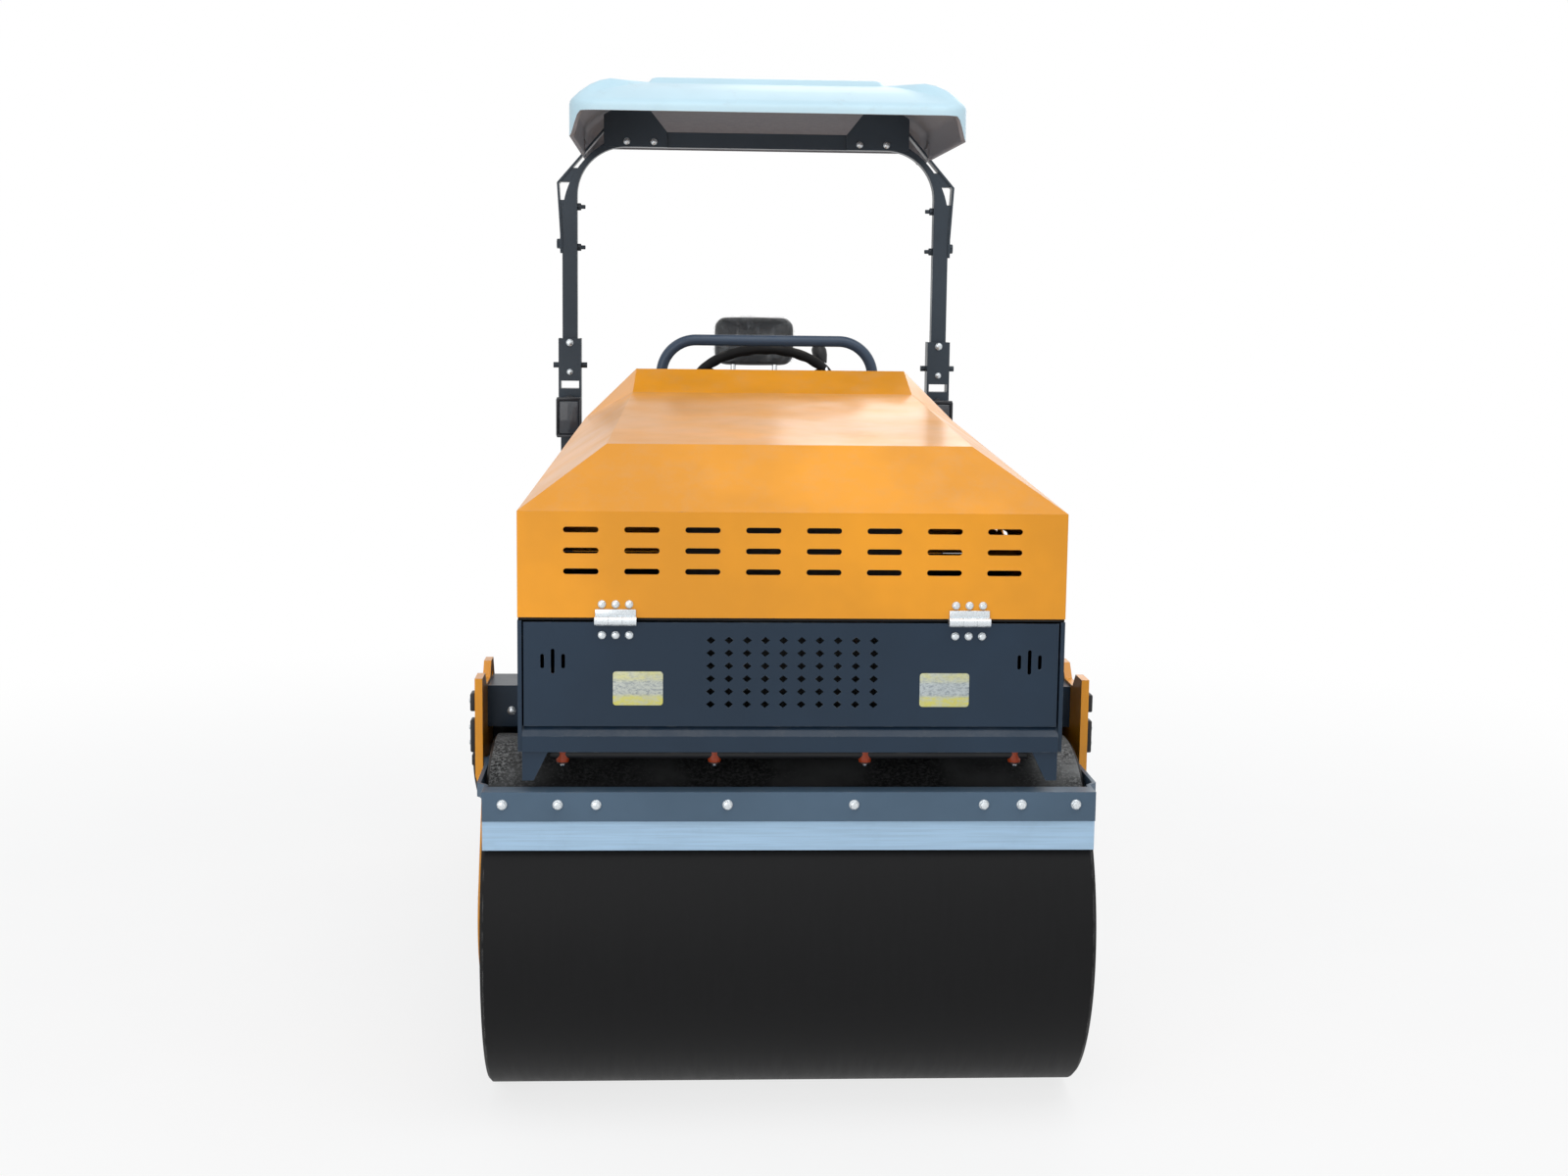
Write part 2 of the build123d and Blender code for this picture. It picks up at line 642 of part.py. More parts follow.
# ---- hood ----
def trimmed(form, origin, normal, inset):
    """What is left of a form below a facet moved in by the sheet, and below its mirror image."""
    facet = Plane(origin=origin - normal * inset, z_dir=normal)
    form = split(form, bisect_by=facet, keep=Keep.BOTTOM)
    if normal.X:
        form = split(mirrored(form), bisect_by=facet, keep=Keep.BOTTOM)
    return form


def hood_form(inset):
    """Outer form of the hood, or the same form moved in by the sheet: a wedge that turns up into a crest."""
    ridge_y = -BODY_END + HOOD_RIDGE_BACK
    corner = Vector(BODY_HALF, -BODY_END, HOOD_FRONT_BREAK)
    ridge = Vector(HOOD_RIDGE_HALF, ridge_y, HOOD_RIDGE_Z)
    crest = Vector(HOOD_CREST_HALF, HOOD_CREST_Y, HOOD_CREST_Z)
    tail = Vector(HOOD_REAR_HALF, -BODY_REAR, HOOD_REAR_TOP)
    shoulder = (crest - corner).cross(ridge - corner).normalized()
    fall = (HOOD_FOLD_HALF - BODY_HALF) * shoulder.X + (BODY_END - BODY_REAR) * shoulder.Y
    fold = Vector(HOOD_FOLD_HALF, -BODY_REAR, HOOD_FRONT_BREAK - fall / shoulder.Z)
    foot = Vector(BODY_HALF, -BODY_REAR, HOOD_BOTTOM)
    side = (foot - corner).cross(fold - corner).normalized()
    crest_shoulder = (tail - fold).cross(crest - fold).normalized()
    along = Vector(1, 0, 0)
    slope = along.cross(ridge - corner).normalized()
    roof = along.cross(crest - ridge).normalized()
    crest_roof = along.cross(tail - crest).normalized()

    half = BODY_HALF - inset
    low = HOOD_BOTTOM - (1 if inset else 0)
    blank = block((-half, half), (-BODY_END + inset, -BODY_REAR - inset), (low, HOOD_REAR_TOP + HOOD_SHEET))
    wedge = blank
    for origin, normal in ((corner, slope), (ridge, roof), (corner, shoulder), (corner, side)):
        wedge = trimmed(wedge, origin, normal, inset)
    for origin, normal in ((crest, crest_roof), (crest, crest_shoulder), (corner, side)):
        blank = trimmed(blank, origin, normal, inset)
    return wedge + blank


def hood_shell():
    shell = hood_form(0) - hood_form(HOOD_SHEET)
    slot = SlotOverall(VENT_LENGTH, VENT_HEIGHT)
    cutters = []
    for dz in centred(VENT_ROWS, VENT_PITCH_Z):
        for x in centred(VENT_COLUMNS, VENT_PITCH_X):
            place = Pos(x, -BODY_END, VENT_Z + dz) * (Plane.XZ * slot)
            cutters.append(extrude(place, HOOD_SHEET, dir=(0, 1, 0)))
        for dy in centred(SIDE_VENT_COLUMNS, VENT_PITCH_X):
            for x in (-BODY_HALF, HOOD_FOLD_HALF):
                place = Pos(x, SIDE_VENT_Y + dy, VENT_Z + dz) * (Plane.YZ * slot)
                cutters.append(extrude(place, BODY_HALF - HOOD_FOLD_HALF, dir=(1, 0, 0)))
    return shell - cutters


# ---- steering cylinder, drawn straight between its two pins ----
def cylinder_barrel():
    start = -CYL_Y
    barrel = rod_y(CYL_BARREL_RADIUS, CYL_X, (start + CYL_BASE - 15, start + CYL_BARREL), CYL_Z)
    barrel -= rod_y(CYL_BORE_RADIUS, CYL_X, (start + CYL_BASE, start + CYL_BARREL - CYL_GLAND), CYL_Z)
    barrel -= rod_y(CYL_ROD_RADIUS + CYL_GAP, CYL_X, (start + CYL_BASE, start + CYL_BARREL), CYL_Z)
    neck = block((CYL_X - EYE_PIN_RADIUS, CYL_X + EYE_PIN_RADIUS), (start, start + CYL_BASE),
                 (CYL_Z - EYE_THICK / 2, CYL_Z + EYE_THICK / 2))
    eye = rod_z(EYE_RADIUS, CYL_X, start, (CYL_Z - EYE_THICK / 2, CYL_Z + EYE_THICK / 2))
    barrel = barrel + neck + eye
    return barrel - rod_z(EYE_PIN_RADIUS + RUNNING_GAP, CYL_X, start, (CYL_Z - EYE_THICK, CYL_Z + EYE_THICK))


def cylinder_rod():
    eye_y = CYL_Y
    inner = eye_y - CYL_ROD
    rod = rod_y(CYL_ROD_RADIUS, CYL_X, (inner, eye_y), CYL_Z)
    piston = rod_y(CYL_BORE_RADIUS - CYL_GAP, CYL_X, (inner, inner + CYL_PISTON), CYL_Z)
    eye = rod_z(EYE_RADIUS, CYL_X, eye_y, (CYL_Z - EYE_THICK / 2, CYL_Z + EYE_THICK / 2))
    return rod + piston + eye


# ---- driver's end ----
def driver_tongue():
    """Bulkhead with the tongue that turns between the two lugs, the rod's clevis and the floor beams."""
    low = LUG_LOW_Z + LUG + BOSS_GAP
    high = LUG_HIGH_Z - BOSS_GAP
    frame = turned(bulkhead(FLOOR_Z))
    frame += block((-TONGUE_HALF, TONGUE_HALF), (0, BULKHEAD_FACE), (low + TONGUE_MARGIN, high - TONGUE_MARGIN))
    frame += rod_z(BOSS_RADIUS, 0, 0, (low, high))
    frame -= rod_z(PIVOT_RADIUS + RUNNING_GAP, 0, 0, (low, high))
    frame += mirror(clevis(), about=Plane.XZ)
    for side in (-1, 1):
        x = side * FLOOR_BEAM_X
        frame += block((x - FLOOR_BEAM_WIDTH / 2, x + FLOOR_BEAM_WIDTH / 2), (FLOOR_FRONT, BULKHEAD_FACE),
                       (FLOOR_Z - FLOOR_BEAM_HEIGHT, FLOOR_Z))
    return frame


def floor_plate():
    return block((-FLOOR_HALF, FLOOR_HALF), (FLOOR_FRONT, BULKHEAD_FACE - FLOOR), (FLOOR_Z, FLOOR_Z + FLOOR)) + block(
        (-FLOOR_HALF, FLOOR_HALF), (BULKHEAD_FACE - FLOOR, BULKHEAD_FACE), (FLOOR_Z, DECK_TOP))


def step_side():
    """Foot step hung from the floor on two straps."""
    strap_x = (FLOOR_HALF - STEP_SHEET, FLOOR_HALF)
    step = block((strap_x[0], STEP_OUT), (STEP_Y, STEP_Y + STEP_LENGTH), (STEP_Z, STEP_Z + STEP_SHEET))
    step += block((STEP_OUT - STEP_SHEET, STEP_OUT), (STEP_Y, STEP_Y + STEP_LENGTH), (STEP_Z, STEP_Z + STEP_STRAP))
    for y in (STEP_Y, STEP_Y + STEP_LENGTH - STEP_STRAP):
        step += block(strap_x, (y, y + STEP_STRAP), (STEP_Z, FLOOR_Z))
    return step


def console():
    back = CONSOLE_FRONT + CONSOLE_DEPTH
    floor = FLOOR_Z + FLOOR
    body = prism_x(
        [(CONSOLE_FRONT, floor), (CONSOLE_FRONT, CONSOLE_FRONT_Z), (CONSOLE_FRONT + CONSOLE_FLAT, CONSOLE_FRONT_Z),
         (back, CONSOLE_BACK_Z), (back, floor)],
        (-CONSOLE_HALF, CONSOLE_HALF),
    )
    return fillet(body.edges().filter_by(Axis.Z), 18)


def handrail():
    legs = [
        (-RAIL_HALF, RAIL_Y, RAIL_FOOT), (-RAIL_HALF, RAIL_Y, RAIL_TOP), (RAIL_HALF, RAIL_Y, RAIL_TOP),
        (RAIL_HALF, RAIL_Y, RAIL_FOOT),
    ]
    path = FilletPolyline(*legs, radius=RAIL_BEND)
    rail = sweep(Plane(path @ 0, z_dir=path % 0) * Circle(RAIL_RADIUS), path=path)
    for z in (RAIL_FOOT, RAIL_FOOT + 2 * RAIL_PAD):
        pad = block((CONSOLE_HALF, RAIL_HALF), (RAIL_Y - RAIL_RADIUS, RAIL_Y + RAIL_RADIUS), (z, z + RAIL_PAD))
        rail += pad + mirrored(pad)
    return rail


def wheel_place():
    """Frame of the steering wheel: its axis leans back towards the driver."""
    return Pos(0, WHEEL_Y, WHEEL_Z) * Rot(-WHEEL_TILT, 0, 0)


def steering_wheel():
    wheel = Torus(WHEEL_RADIUS, WHEEL_RIM) + Cylinder(WHEEL_HUB_RADIUS, WHEEL_HUB)
    for i in range(SPOKE_COUNT):
        spoke = Pos(WHEEL_RADIUS / 2, 0, 0) * Box(WHEEL_RADIUS, SPOKE_WIDTH, SPOKE)
        wheel += Rot(0, 0, 90 + i * 360 / SPOKE_COUNT) * spoke
    return wheel_place() * wheel


def steering_column():
    """Tube from the console's sloped top to the underside of the wheel hub."""
    tilt = math.radians(WHEEL_TILT)
    length = 260.0
    tube = wheel_place() * Pos(0, 0, -WHEEL_HUB / 2 - length / 2) * Cylinder(COLUMN_RADIUS, length)
    return tube - console()


def water_tank():
    """Tank under the seat: a lower part inside the walls and a wider chamfered top over them."""
    inside = REAR_HALF - WALL - TANK_SIDE_GAP
    lower = block((-inside, inside), (TANK_FRONT, BODY_END - LIP_DEPTH - TANK_SIDE_GAP), (DECK_TOP, TANK_SHOULDER))
    upper = prism_x(
        [(TANK_FRONT, TANK_SHOULDER), (TANK_FRONT, TANK_TOP), (BODY_END - TANK_SLOPE, TANK_TOP),
         (BODY_END, TANK_TOP - TANK_DROP), (BODY_END, TANK_SHOULDER)],
        (-REAR_HALF, REAR_HALF),
    )
    corner = Vector(REAR_HALF, 0, TANK_TOP - TANK_CHAMFER)
    shoulder = Plane(origin=corner, z_dir=(1, 0, 1))
    upper = split(upper, bisect_by=shoulder, keep=Keep.BOTTOM)
    upper = split(mirrored(upper), bisect_by=shoulder, keep=Keep.BOTTOM)
    return lower + upper


def rear_panel():
    inside = REAR_HALF - WALL - PANEL_GAP
    return block((-inside, inside), (BODY_END - 2 * WALL, BODY_END - WALL), (LIP_TOP, REAR_WALL_TOP))


def backrest_place():
    """Foot of the backrest, leaning back."""
    low = TANK_TOP + SEAT_BASE_HEIGHT + CUSHION - CUSHION_SINK
    return Pos(0, BACK_FOOT_Y, low) * Rot(-BACK_LEAN, 0, 0)


def seat_base():
    base = block((-SEAT_BASE_HALF, SEAT_BASE_HALF), (SEAT_BASE_FRONT, SEAT_BASE_FRONT + SEAT_BASE_DEPTH),
                 (TANK_TOP, TANK_TOP + SEAT_BASE_HEIGHT))
    bracket = block((-BRACKET_HALF, BRACKET_HALF), (BACK, BACK + BRACKET), (-BRACKET_DROP, BRACKET_HEIGHT))
    return base + backrest_place() * bracket


def seat_cushion():
    low = TANK_TOP + SEAT_BASE_HEIGHT
    pad = block((-CUSHION_HALF, CUSHION_HALF), (CUSHION_FRONT, CUSHION_FRONT + CUSHION_DEPTH), (low, low + CUSHION))
    pad = fillet(pad.edges().filter_by(Axis.Z), CUSHION_ROUND)
    return fillet(pad.edges().group_by(Axis.Z)[-1], CUSHION_ROUND)


def seat_back():
    pad = block((-BACK_HALF, BACK_HALF), (0, BACK), (0, BACK_HEIGHT))
    pad = fillet(pad.edges().filter_by(Axis.Y) + pad.edges().group_by(Axis.Y)[0], CUSHION_ROUND)
    return backrest_place() * pad


def headrest():
    """Headrest on two thin posts, in line with the leaning backrest."""
    low = TANK_TOP + SEAT_BASE_HEIGHT + CUSHION - CUSHION_SINK
    rise = math.cos(math.radians(BACK_LEAN))
    span = ((HEADREST_BOTTOM - low) / rise, (HEADREST_TOP - low) / rise)
    pad = block((-HEADREST_HALF, HEADREST_HALF), (0, HEADREST), span)
    pad = fillet(pad.edges(), CUSHION_ROUND)
    post = rod_z(HEADREST_POST_RADIUS, HEADREST_POST_X, HEADREST / 2, (BACK_HEIGHT, span[0] + CUSHION_ROUND))
    return backrest_place() * (pad + post + mirrored(post))


# ---- roll bar, drawn upright; the left post is the right one mirrored ----
def rops_foot():
    """Stub bolted to the side wall, with an open-backed channel that takes the folding post."""
    half = POST / 2 + CHANNEL_GAP
    stub = block((REAR_HALF, POST_X + half), (POST_Y - half, POST_Y + half), (FOOT_BOTTOM, STUB_TOP))
    plate = block((REAR_HALF, REAR_HALF + FOOT_PLATE), (POST_Y - FOOT_PLATE_HALF, POST_Y + FOOT_PLATE_HALF),
                  (FOOT_BOTTOM, FOOT_PLATE_TOP))
    foot = stub + plate
    front = (POST_Y - half - CHANNEL, POST_Y - half)
    for side in (-1, 1):
        inner, outer = POST_X + side * half, POST_X + side * (half + CHANNEL)
        foot += block((min(inner, outer), max(inner, outer)), (front[0], POST_Y + half),
                      (STUB_TOP - CHANNEL_LAP, CHANNEL_TOP))
    foot += block((POST_X - half - CHANNEL, POST_X + half + CHANNEL), front, (CHANNEL_FRONT_BOTTOM, CHANNEL_TOP))
    foot += block((POST_X - half - CHANNEL, POST_X + half + CHANNEL), front, (STUB_TOP - CHANNEL_LAP, STUB_TOP))
    pin_half = half + CHANNEL + FOLD_PIN_OUT
    return foot + rod_x(FOLD_PIN_RADIUS, (POST_X - pin_half, POST_X + pin_half), POST_Y, FOLD_Z)


def work_lamp():
    """Lamp with a rounded case on a short stem in front of the stub."""
    face = POST_Y - POST / 2 - CHANNEL_GAP - CHANNEL
    back = face - LAMP_STEM
    case = block((POST_X - LAMP_HALF, POST_X + LAMP_HALF), (back - LAMP_DEPTH, back),
                 (LAMP_BOTTOM, LAMP_BOTTOM + LAMP_HEIGHT))
    case = fillet(case.edges().filter_by(Axis.Y), LAMP_ROUND)
    stem_z = STUB_TOP - CHANNEL_LAP / 2
    return case + rod_y(LAMP_STEM_RADIUS, POST_X, (back - LAMP_DEPTH / 2, face), stem_z)


def arch_form(inset, bend, foot):
    """Upright slab with the roll bar's outline, moved in from its outer faces."""
    half = ARCH_HALF - inset
    top = ARCH_Z - inset
    face = outline([(-half, foot), (-half, top), (half, top), (half, foot)])
    face = fillet(face.vertices().group_by(Axis.Y)[-1], bend)
    return extrude(Pos(0, POST_Y - POST / 2, 0) * (Plane.XZ * face), POST, dir=(0, 1, 0))


def rops_arch():
    """Bent square tube from pin to pin, with the two plates that carry the canopy."""
    outer = ARCH_HALF
    inner = ARCH_HALF - POST
    arch = arch_form(0, ARCH_BEND, FOLD_Z) - arch_form(POST, ARCH_BEND_INSIDE, FOLD_Z - 1)
    end = rod_x(POST / 2, (inner, outer), POST_Y, FOLD_Z)
    arch += end
    arch += mirrored(end)
    hole = rod_x(FOLD_PIN_RADIUS + RUNNING_GAP, (inner, outer), POST_Y, FOLD_Z)
    arch -= hole
    arch -= mirrored(hole)
    front = POST_Y - POST / 2
    under = CANOPY_ROOF - CANOPY_SHEET
    near, head, foot = ARCH_HALF - GUSSET_OUT_IN, ARCH_HALF - GUSSET_HEAD_IN, ARCH_HALF - GUSSET_FOOT_IN
    gusset = prism_y(
        [
            (foot, ARCH_Z - POST), (near, ARCH_Z - POST), (near, under - GUSSET_CUT_Z), (near - GUSSET_CUT_X, under),
            (head, under), (foot, ARCH_Z),
        ],
        (front - GUSSET, front),
    )
    gusset += block((head, near - GUSSET_CUT_X), (front - GUSSET, POST_Y + POST / 2), (under - GUSSET, under))
    return arch + gusset + mirrored(gusset)


def rops_strap():
    """Bent flat bar that braces the corner of the arch from outside, with two packing pieces behind it."""
    face = ARCH_HALF
    end = face - STRAP_END_IN
    rake = (STRAP_OUT + STRAP_END_IN) / (ARCH_Z - STRAP_KNEE_Z)

    def reach(z):
        if z < STRAP_KNEE_Z:
            return face + STRAP_OUT * (z - POST_JOINT_Z) / (STRAP_KNEE_Z - POST_JOINT_Z)
        return face + STRAP_OUT - (z - STRAP_KNEE_Z) * rake

    lower = [(face, STRAP_FOOT_Z), (face, POST_JOINT_Z), (face + STRAP_OUT, STRAP_KNEE_Z), (end, ARCH_Z)]
    upper = [
        (end, ARCH_Z + 1.5 * STRAP), (face + STRAP_OUT + STRAP, STRAP_KNEE_Z + 0.4 * STRAP),
        (face + STRAP, POST_JOINT_Z), (face + STRAP, STRAP_FOOT_Z),
    ]
    bar = prism_y(lower + upper, (POST_Y - STRAP_WIDTH / 2, POST_Y + STRAP_WIDTH / 2))
    for low, high in ((POST_JOINT_Z, PACKING_TOP), (CORNER_PACKING_BOTTOM, CORNER_PACKING_TOP)):
        side = [(end, low), (reach(low), low), (reach(high), high), (end, high)]
        bar += prism_y(side, (POST_Y - POST / 2, POST_Y + POST / 2)) - arch_form(0, ARCH_BEND, FOLD_Z)
    return bar


def canopy():
    """Moulded roof: a shallow tray with deeper skirts at the sides and a raised middle."""
    def tray(inset):
        shape = block((-CANOPY_HALF + inset, CANOPY_HALF - inset), (CANOPY_FRONT + inset, CANOPY_BACK - inset),
                      (CANOPY_SKIRT - inset, CANOPY_ROOF - inset))
        shape = fillet(shape.edges().filter_by(Axis.Z), CANOPY_CORNER - inset)
        return fillet(shape.edges().group_by(Axis.Z)[-1], CANOPY_ROUND - inset)

    roof = tray(0)
    middle = (CANOPY_FRONT + CANOPY_BACK) / 2
    depth = (CANOPY_BACK - CANOPY_FRONT) / 2 - CROWN_MARGIN
    crown = block((-CROWN_HALF, CROWN_HALF), (middle - depth, middle + depth), (CANOPY_ROOF - 1, CANOPY_ROOF + CROWN))
    crown = chamfer(crown.edges().group_by(Axis.Z)[-1], CROWN - 1)
    roof = roof + crown - tray(CANOPY_SHEET)
    below = CANOPY_SKIRT - CANOPY_SHEET
    for end, way, depth in ((CANOPY_FRONT, 1, CANOPY_FRONT_DEPTH), (CANOPY_BACK, -1, CANOPY_BACK_DEPTH)):
        rim = CANOPY_ROOF - depth
        turn = end + way * CANOPY_CORNER
        cut = [(end, below), (end, rim), (turn, rim), (turn + way * CANOPY_TAPER, below)]
        roof -= prism_x(cut, (-CANOPY_HALF, CANOPY_HALF))
    slit = block((-CANOPY_HALF, CANOPY_HALF), (POST_Y - CANOPY_SLIT_HALF, POST_Y + CANOPY_SLIT_HALF),
                 (CANOPY_SKIRT, CANOPY_ROOF - CANOPY_SLIT_DEPTH))
    return roof - slit


PARTS = {
    # engine end
    "front_side_walls": lambda: side_walls(BODY_HALF, BODY_REAR, FRONT_WALL_TOP),
    "front_deck": lambda: deck(BODY_HALF, BODY_REAR) + tub_back(),
    "engine_yoke": engine_yoke,
    "pivot_pin": pivot_pin,
    "front_panel": front_panel,
    "engine": engine,
    "hinge_lower_leaves": lambda: pair(hinge(False)),
    "front_carriers": lambda: pair(carrier()),
    "front_motors": lambda: pair(housing()),
    "front_scraper_beam": scraper_beam,
    "front_scraper_blade": scraper_blade,
    "front_spray_bar": spray_bar,
    # hood
    "hood_shell": hood_shell,
    "hinge_upper_leaves": lambda: pair(hinge(True)),
    # drums
    "front_drum_shell": drum_shell,
    "front_drum_axle": drum_heads,
    "rear_drum_shell": lambda: turned(drum_shell()),
    "rear_drum_axle": lambda: turned(drum_heads()),
    # steering cylinder
    "cylinder_barrel": cylinder_barrel,
    "cylinder_rod": cylinder_rod,
    # driver's end
    "driver_tongue": driver_tongue,
    "rear_side_walls": lambda: turned(side_walls(REAR_HALF, BULKHEAD_FACE, REAR_WALL_TOP)),
    "rear_deck": lambda: turned(deck(REAR_HALF, BULKHEAD_FACE)),
    "driver_floor": floor_plate,
    "foot_steps": lambda: pair(step_side()),
    "console": console,
    "grab_rail": handrail,
    "steering_column": steering_column,
    "steering_wheel": steering_wheel,
    "water_tank": water_tank,
    "rear_panel": rear_panel,
    "seat_base": seat_base,
    "seat_cushion": seat_cushion,
    "seat_back": seat_back,
    "headrest": headrest,
    "rear_carriers": lambda: turned(pair(carrier())),
    "rear_motors": lambda: turned(pair(housing())),
    "rear_scraper_beam": lambda: turned(scraper_beam()),
    "rear_scraper_blade": lambda: turned(scraper_blade()),
    "rear_spray_bar": lambda: turned(spray_bar()),
    "rops_feet": lambda: pair(rops_foot()),
    "work_lamps": lambda: pair(work_lamp()),
    # roll bar
    "rops_arch": rops_arch,
    "rops_straps": lambda: pair(rops_strap()),
    "canopy": canopy,
}


if __name__ == "__main__":
    os.makedirs("parts", exist_ok=True)
    for node, make in PARTS.items():
        export_step(make(), f"parts/{node}.step")
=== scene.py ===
"""Finish and fittings of a ride-on tandem road roller, laid out as a Blender add-on and run as a script.

Metres, +Z up, the engine end faces -Y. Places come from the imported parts' boxes.
"""

import json
import math

import bmesh
import bpy
import numpy as np
from bpy.props import FloatProperty, FloatVectorProperty, IntProperty, PointerProperty
from mathutils import Matrix, Vector, noise


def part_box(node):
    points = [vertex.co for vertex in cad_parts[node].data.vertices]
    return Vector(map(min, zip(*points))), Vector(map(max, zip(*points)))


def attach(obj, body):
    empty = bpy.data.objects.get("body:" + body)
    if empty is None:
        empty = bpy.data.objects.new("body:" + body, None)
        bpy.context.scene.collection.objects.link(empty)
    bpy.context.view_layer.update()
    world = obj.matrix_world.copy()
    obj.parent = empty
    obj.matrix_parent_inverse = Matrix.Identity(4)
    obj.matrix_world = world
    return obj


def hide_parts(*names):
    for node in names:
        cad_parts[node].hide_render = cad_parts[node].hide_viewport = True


bl_info = {
    "name": "Tandem roller finish",
    "version": (1, 0, 0),
    "blender": (4, 5, 0),
    "location": "3D View > Sidebar > Roller",
    "description": "Paint, padding, fasteners and fittings for the packed road roller",
    "category": "Object",
}

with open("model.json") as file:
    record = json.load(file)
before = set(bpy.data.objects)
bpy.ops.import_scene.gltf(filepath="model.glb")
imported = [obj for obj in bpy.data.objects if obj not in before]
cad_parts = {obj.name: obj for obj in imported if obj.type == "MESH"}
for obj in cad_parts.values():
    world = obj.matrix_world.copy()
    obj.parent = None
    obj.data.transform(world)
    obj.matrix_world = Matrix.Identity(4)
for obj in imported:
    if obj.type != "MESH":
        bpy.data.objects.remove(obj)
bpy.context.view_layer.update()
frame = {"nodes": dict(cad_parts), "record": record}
NODES = frame["nodes"]


def tone(red, green, blue):
    """Linear colour from display values of 0 to 255."""
    def linear(value):
        value /= 255
        return value / 12.92 if value <= 0.04045 else ((value + 0.055) / 1.055) ** 2.4
    return (linear(red), linear(green), linear(blue), 1.0)


def scaled(colour, share):
    """A colour made darker or lighter, still opaque."""
    return tuple(min(1, c * share) for c in colour[:3]) + (1,)


def middle(node):
    low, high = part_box(node)
    return (low + high) / 2


def size_prop(name, description, default):
    return FloatProperty(name=name, description=description, default=default, min=0, subtype="DISTANCE", unit="LENGTH")


def colour_prop(name, description, default):
    return FloatVectorProperty(name=name, description=description, default=default, size=4, min=0, max=1,
                               subtype="COLOR")


class PaintSettings(bpy.types.PropertyGroup):
    hood: colour_prop("Hood yellow", "Hood, side plates and tank cover", tone(244, 160, 22))
    body: colour_prop("Body blue", "Tubs, yoke, beams and steps", tone(32, 50, 68))
    bar: colour_prop("Roll bar blue", "Posts, arch, straps and feet", tone(60, 70, 80))
    rail: colour_prop("Grab rail blue", "Rail in front of the wheel", tone(62, 78, 98))
    drum: colour_prop("Drum black", "Paint on the drums", tone(22, 22, 23))
    blade: colour_prop("Blade steel", "Scraper blades", tone(172, 203, 229))
    roof: colour_prop("Roof blue", "Top of the moulded roof", tone(205, 236, 249))
    # grey fibre lining, darkened so its colour also stands for painted shade under the roof
    lining: colour_prop("Roof lining", "Underside of the roof", tone(152, 150, 154))
    peel: size_prop("Orange peel", "Width of the ripples in the paint", 0.0018)
    edge: size_prop("Edge radius", "Softened edge of sheets and plates", 0.0016)
    dust: FloatProperty(name="Dust", description="How much pale dust lies on the machine", default=0.22, min=0, max=1)


class FastenerSettings(bpy.types.PropertyGroup):
    beam: size_prop("Beam bolts", "Flange width of the scraper bolts", 0.021)
    hinge: size_prop("Hinge screws", "Flange width of the hinge screws", 0.0165)
    bar: size_prop("Roll bar bolts", "Flange width of the roll bar's bolts", 0.022)
    height: FloatProperty(name="Head height", description="Head height as a share of its width", default=0.36)
    seed: IntProperty(name="Seed", description="Seed for how far each head is turned", default=3)


class SeatSettings(bpy.types.PropertyGroup):
    voxel: size_prop("Voxel", "Mesh size of the swelling pads", 0.0085)
    pressure: FloatProperty(name="Pressure", description="Air pressure that fills the pads", default=4.0)
    swell: size_prop("Swell", "Most that a pad may swell", 0.009)
    channel: size_prop("Channel", "Depth of the sewn channels", 0.006)
    film_width: size_prop("Film width", "Width of the film over the headrest, laid flat", 0.30)
    film_length: size_prop("Film length", "Length of the film over the headrest, laid flat", 0.30)
    film_seed: IntProperty(name="Film seed", description="Seed for the film's wrinkles", default=1)


class RoofSettings(bpy.types.PropertyGroup):
    corner: size_prop("Corner", "Radius of the roof's corners seen from above", 0.075)
    wall: size_prop("Wall", "Thickness of the moulding", 0.006)
    front: size_prop("Front depth", "From the roof's top to the front rim", 0.101)
    back: size_prop("Back depth", "From the roof's top to the back rim", 0.123)
    side: size_prop("Side depth", "From the roof's top to the side skirts' feet", 0.159)
    gap: size_prop("Post gap", "Width of the gap in a skirt for the roll bar", 0.080)
    slot: size_prop("Gap height", "Height of the gap in a skirt for the roll bar", 0.034)


class StageSettings(bpy.types.PropertyGroup):
    sky: FloatProperty(name="Sky", description="Strength of the even light", default=0.53, min=0)
    key: FloatProperty(name="Key", description="Power of the lamp above the front", default=92.0, min=0)
    floor: colour_prop("Floor", "Colour of the floor", (0.92, 0.92, 0.92, 1))


def settings(name):
    return getattr(bpy.context.scene, "roller_" + name)


# ---- shader building blocks ----
def put(tree, kind, inputs=None, **options):
    """Adds a shader node."""
    return gn(tree, "ShaderNode" + kind, inputs, **options)


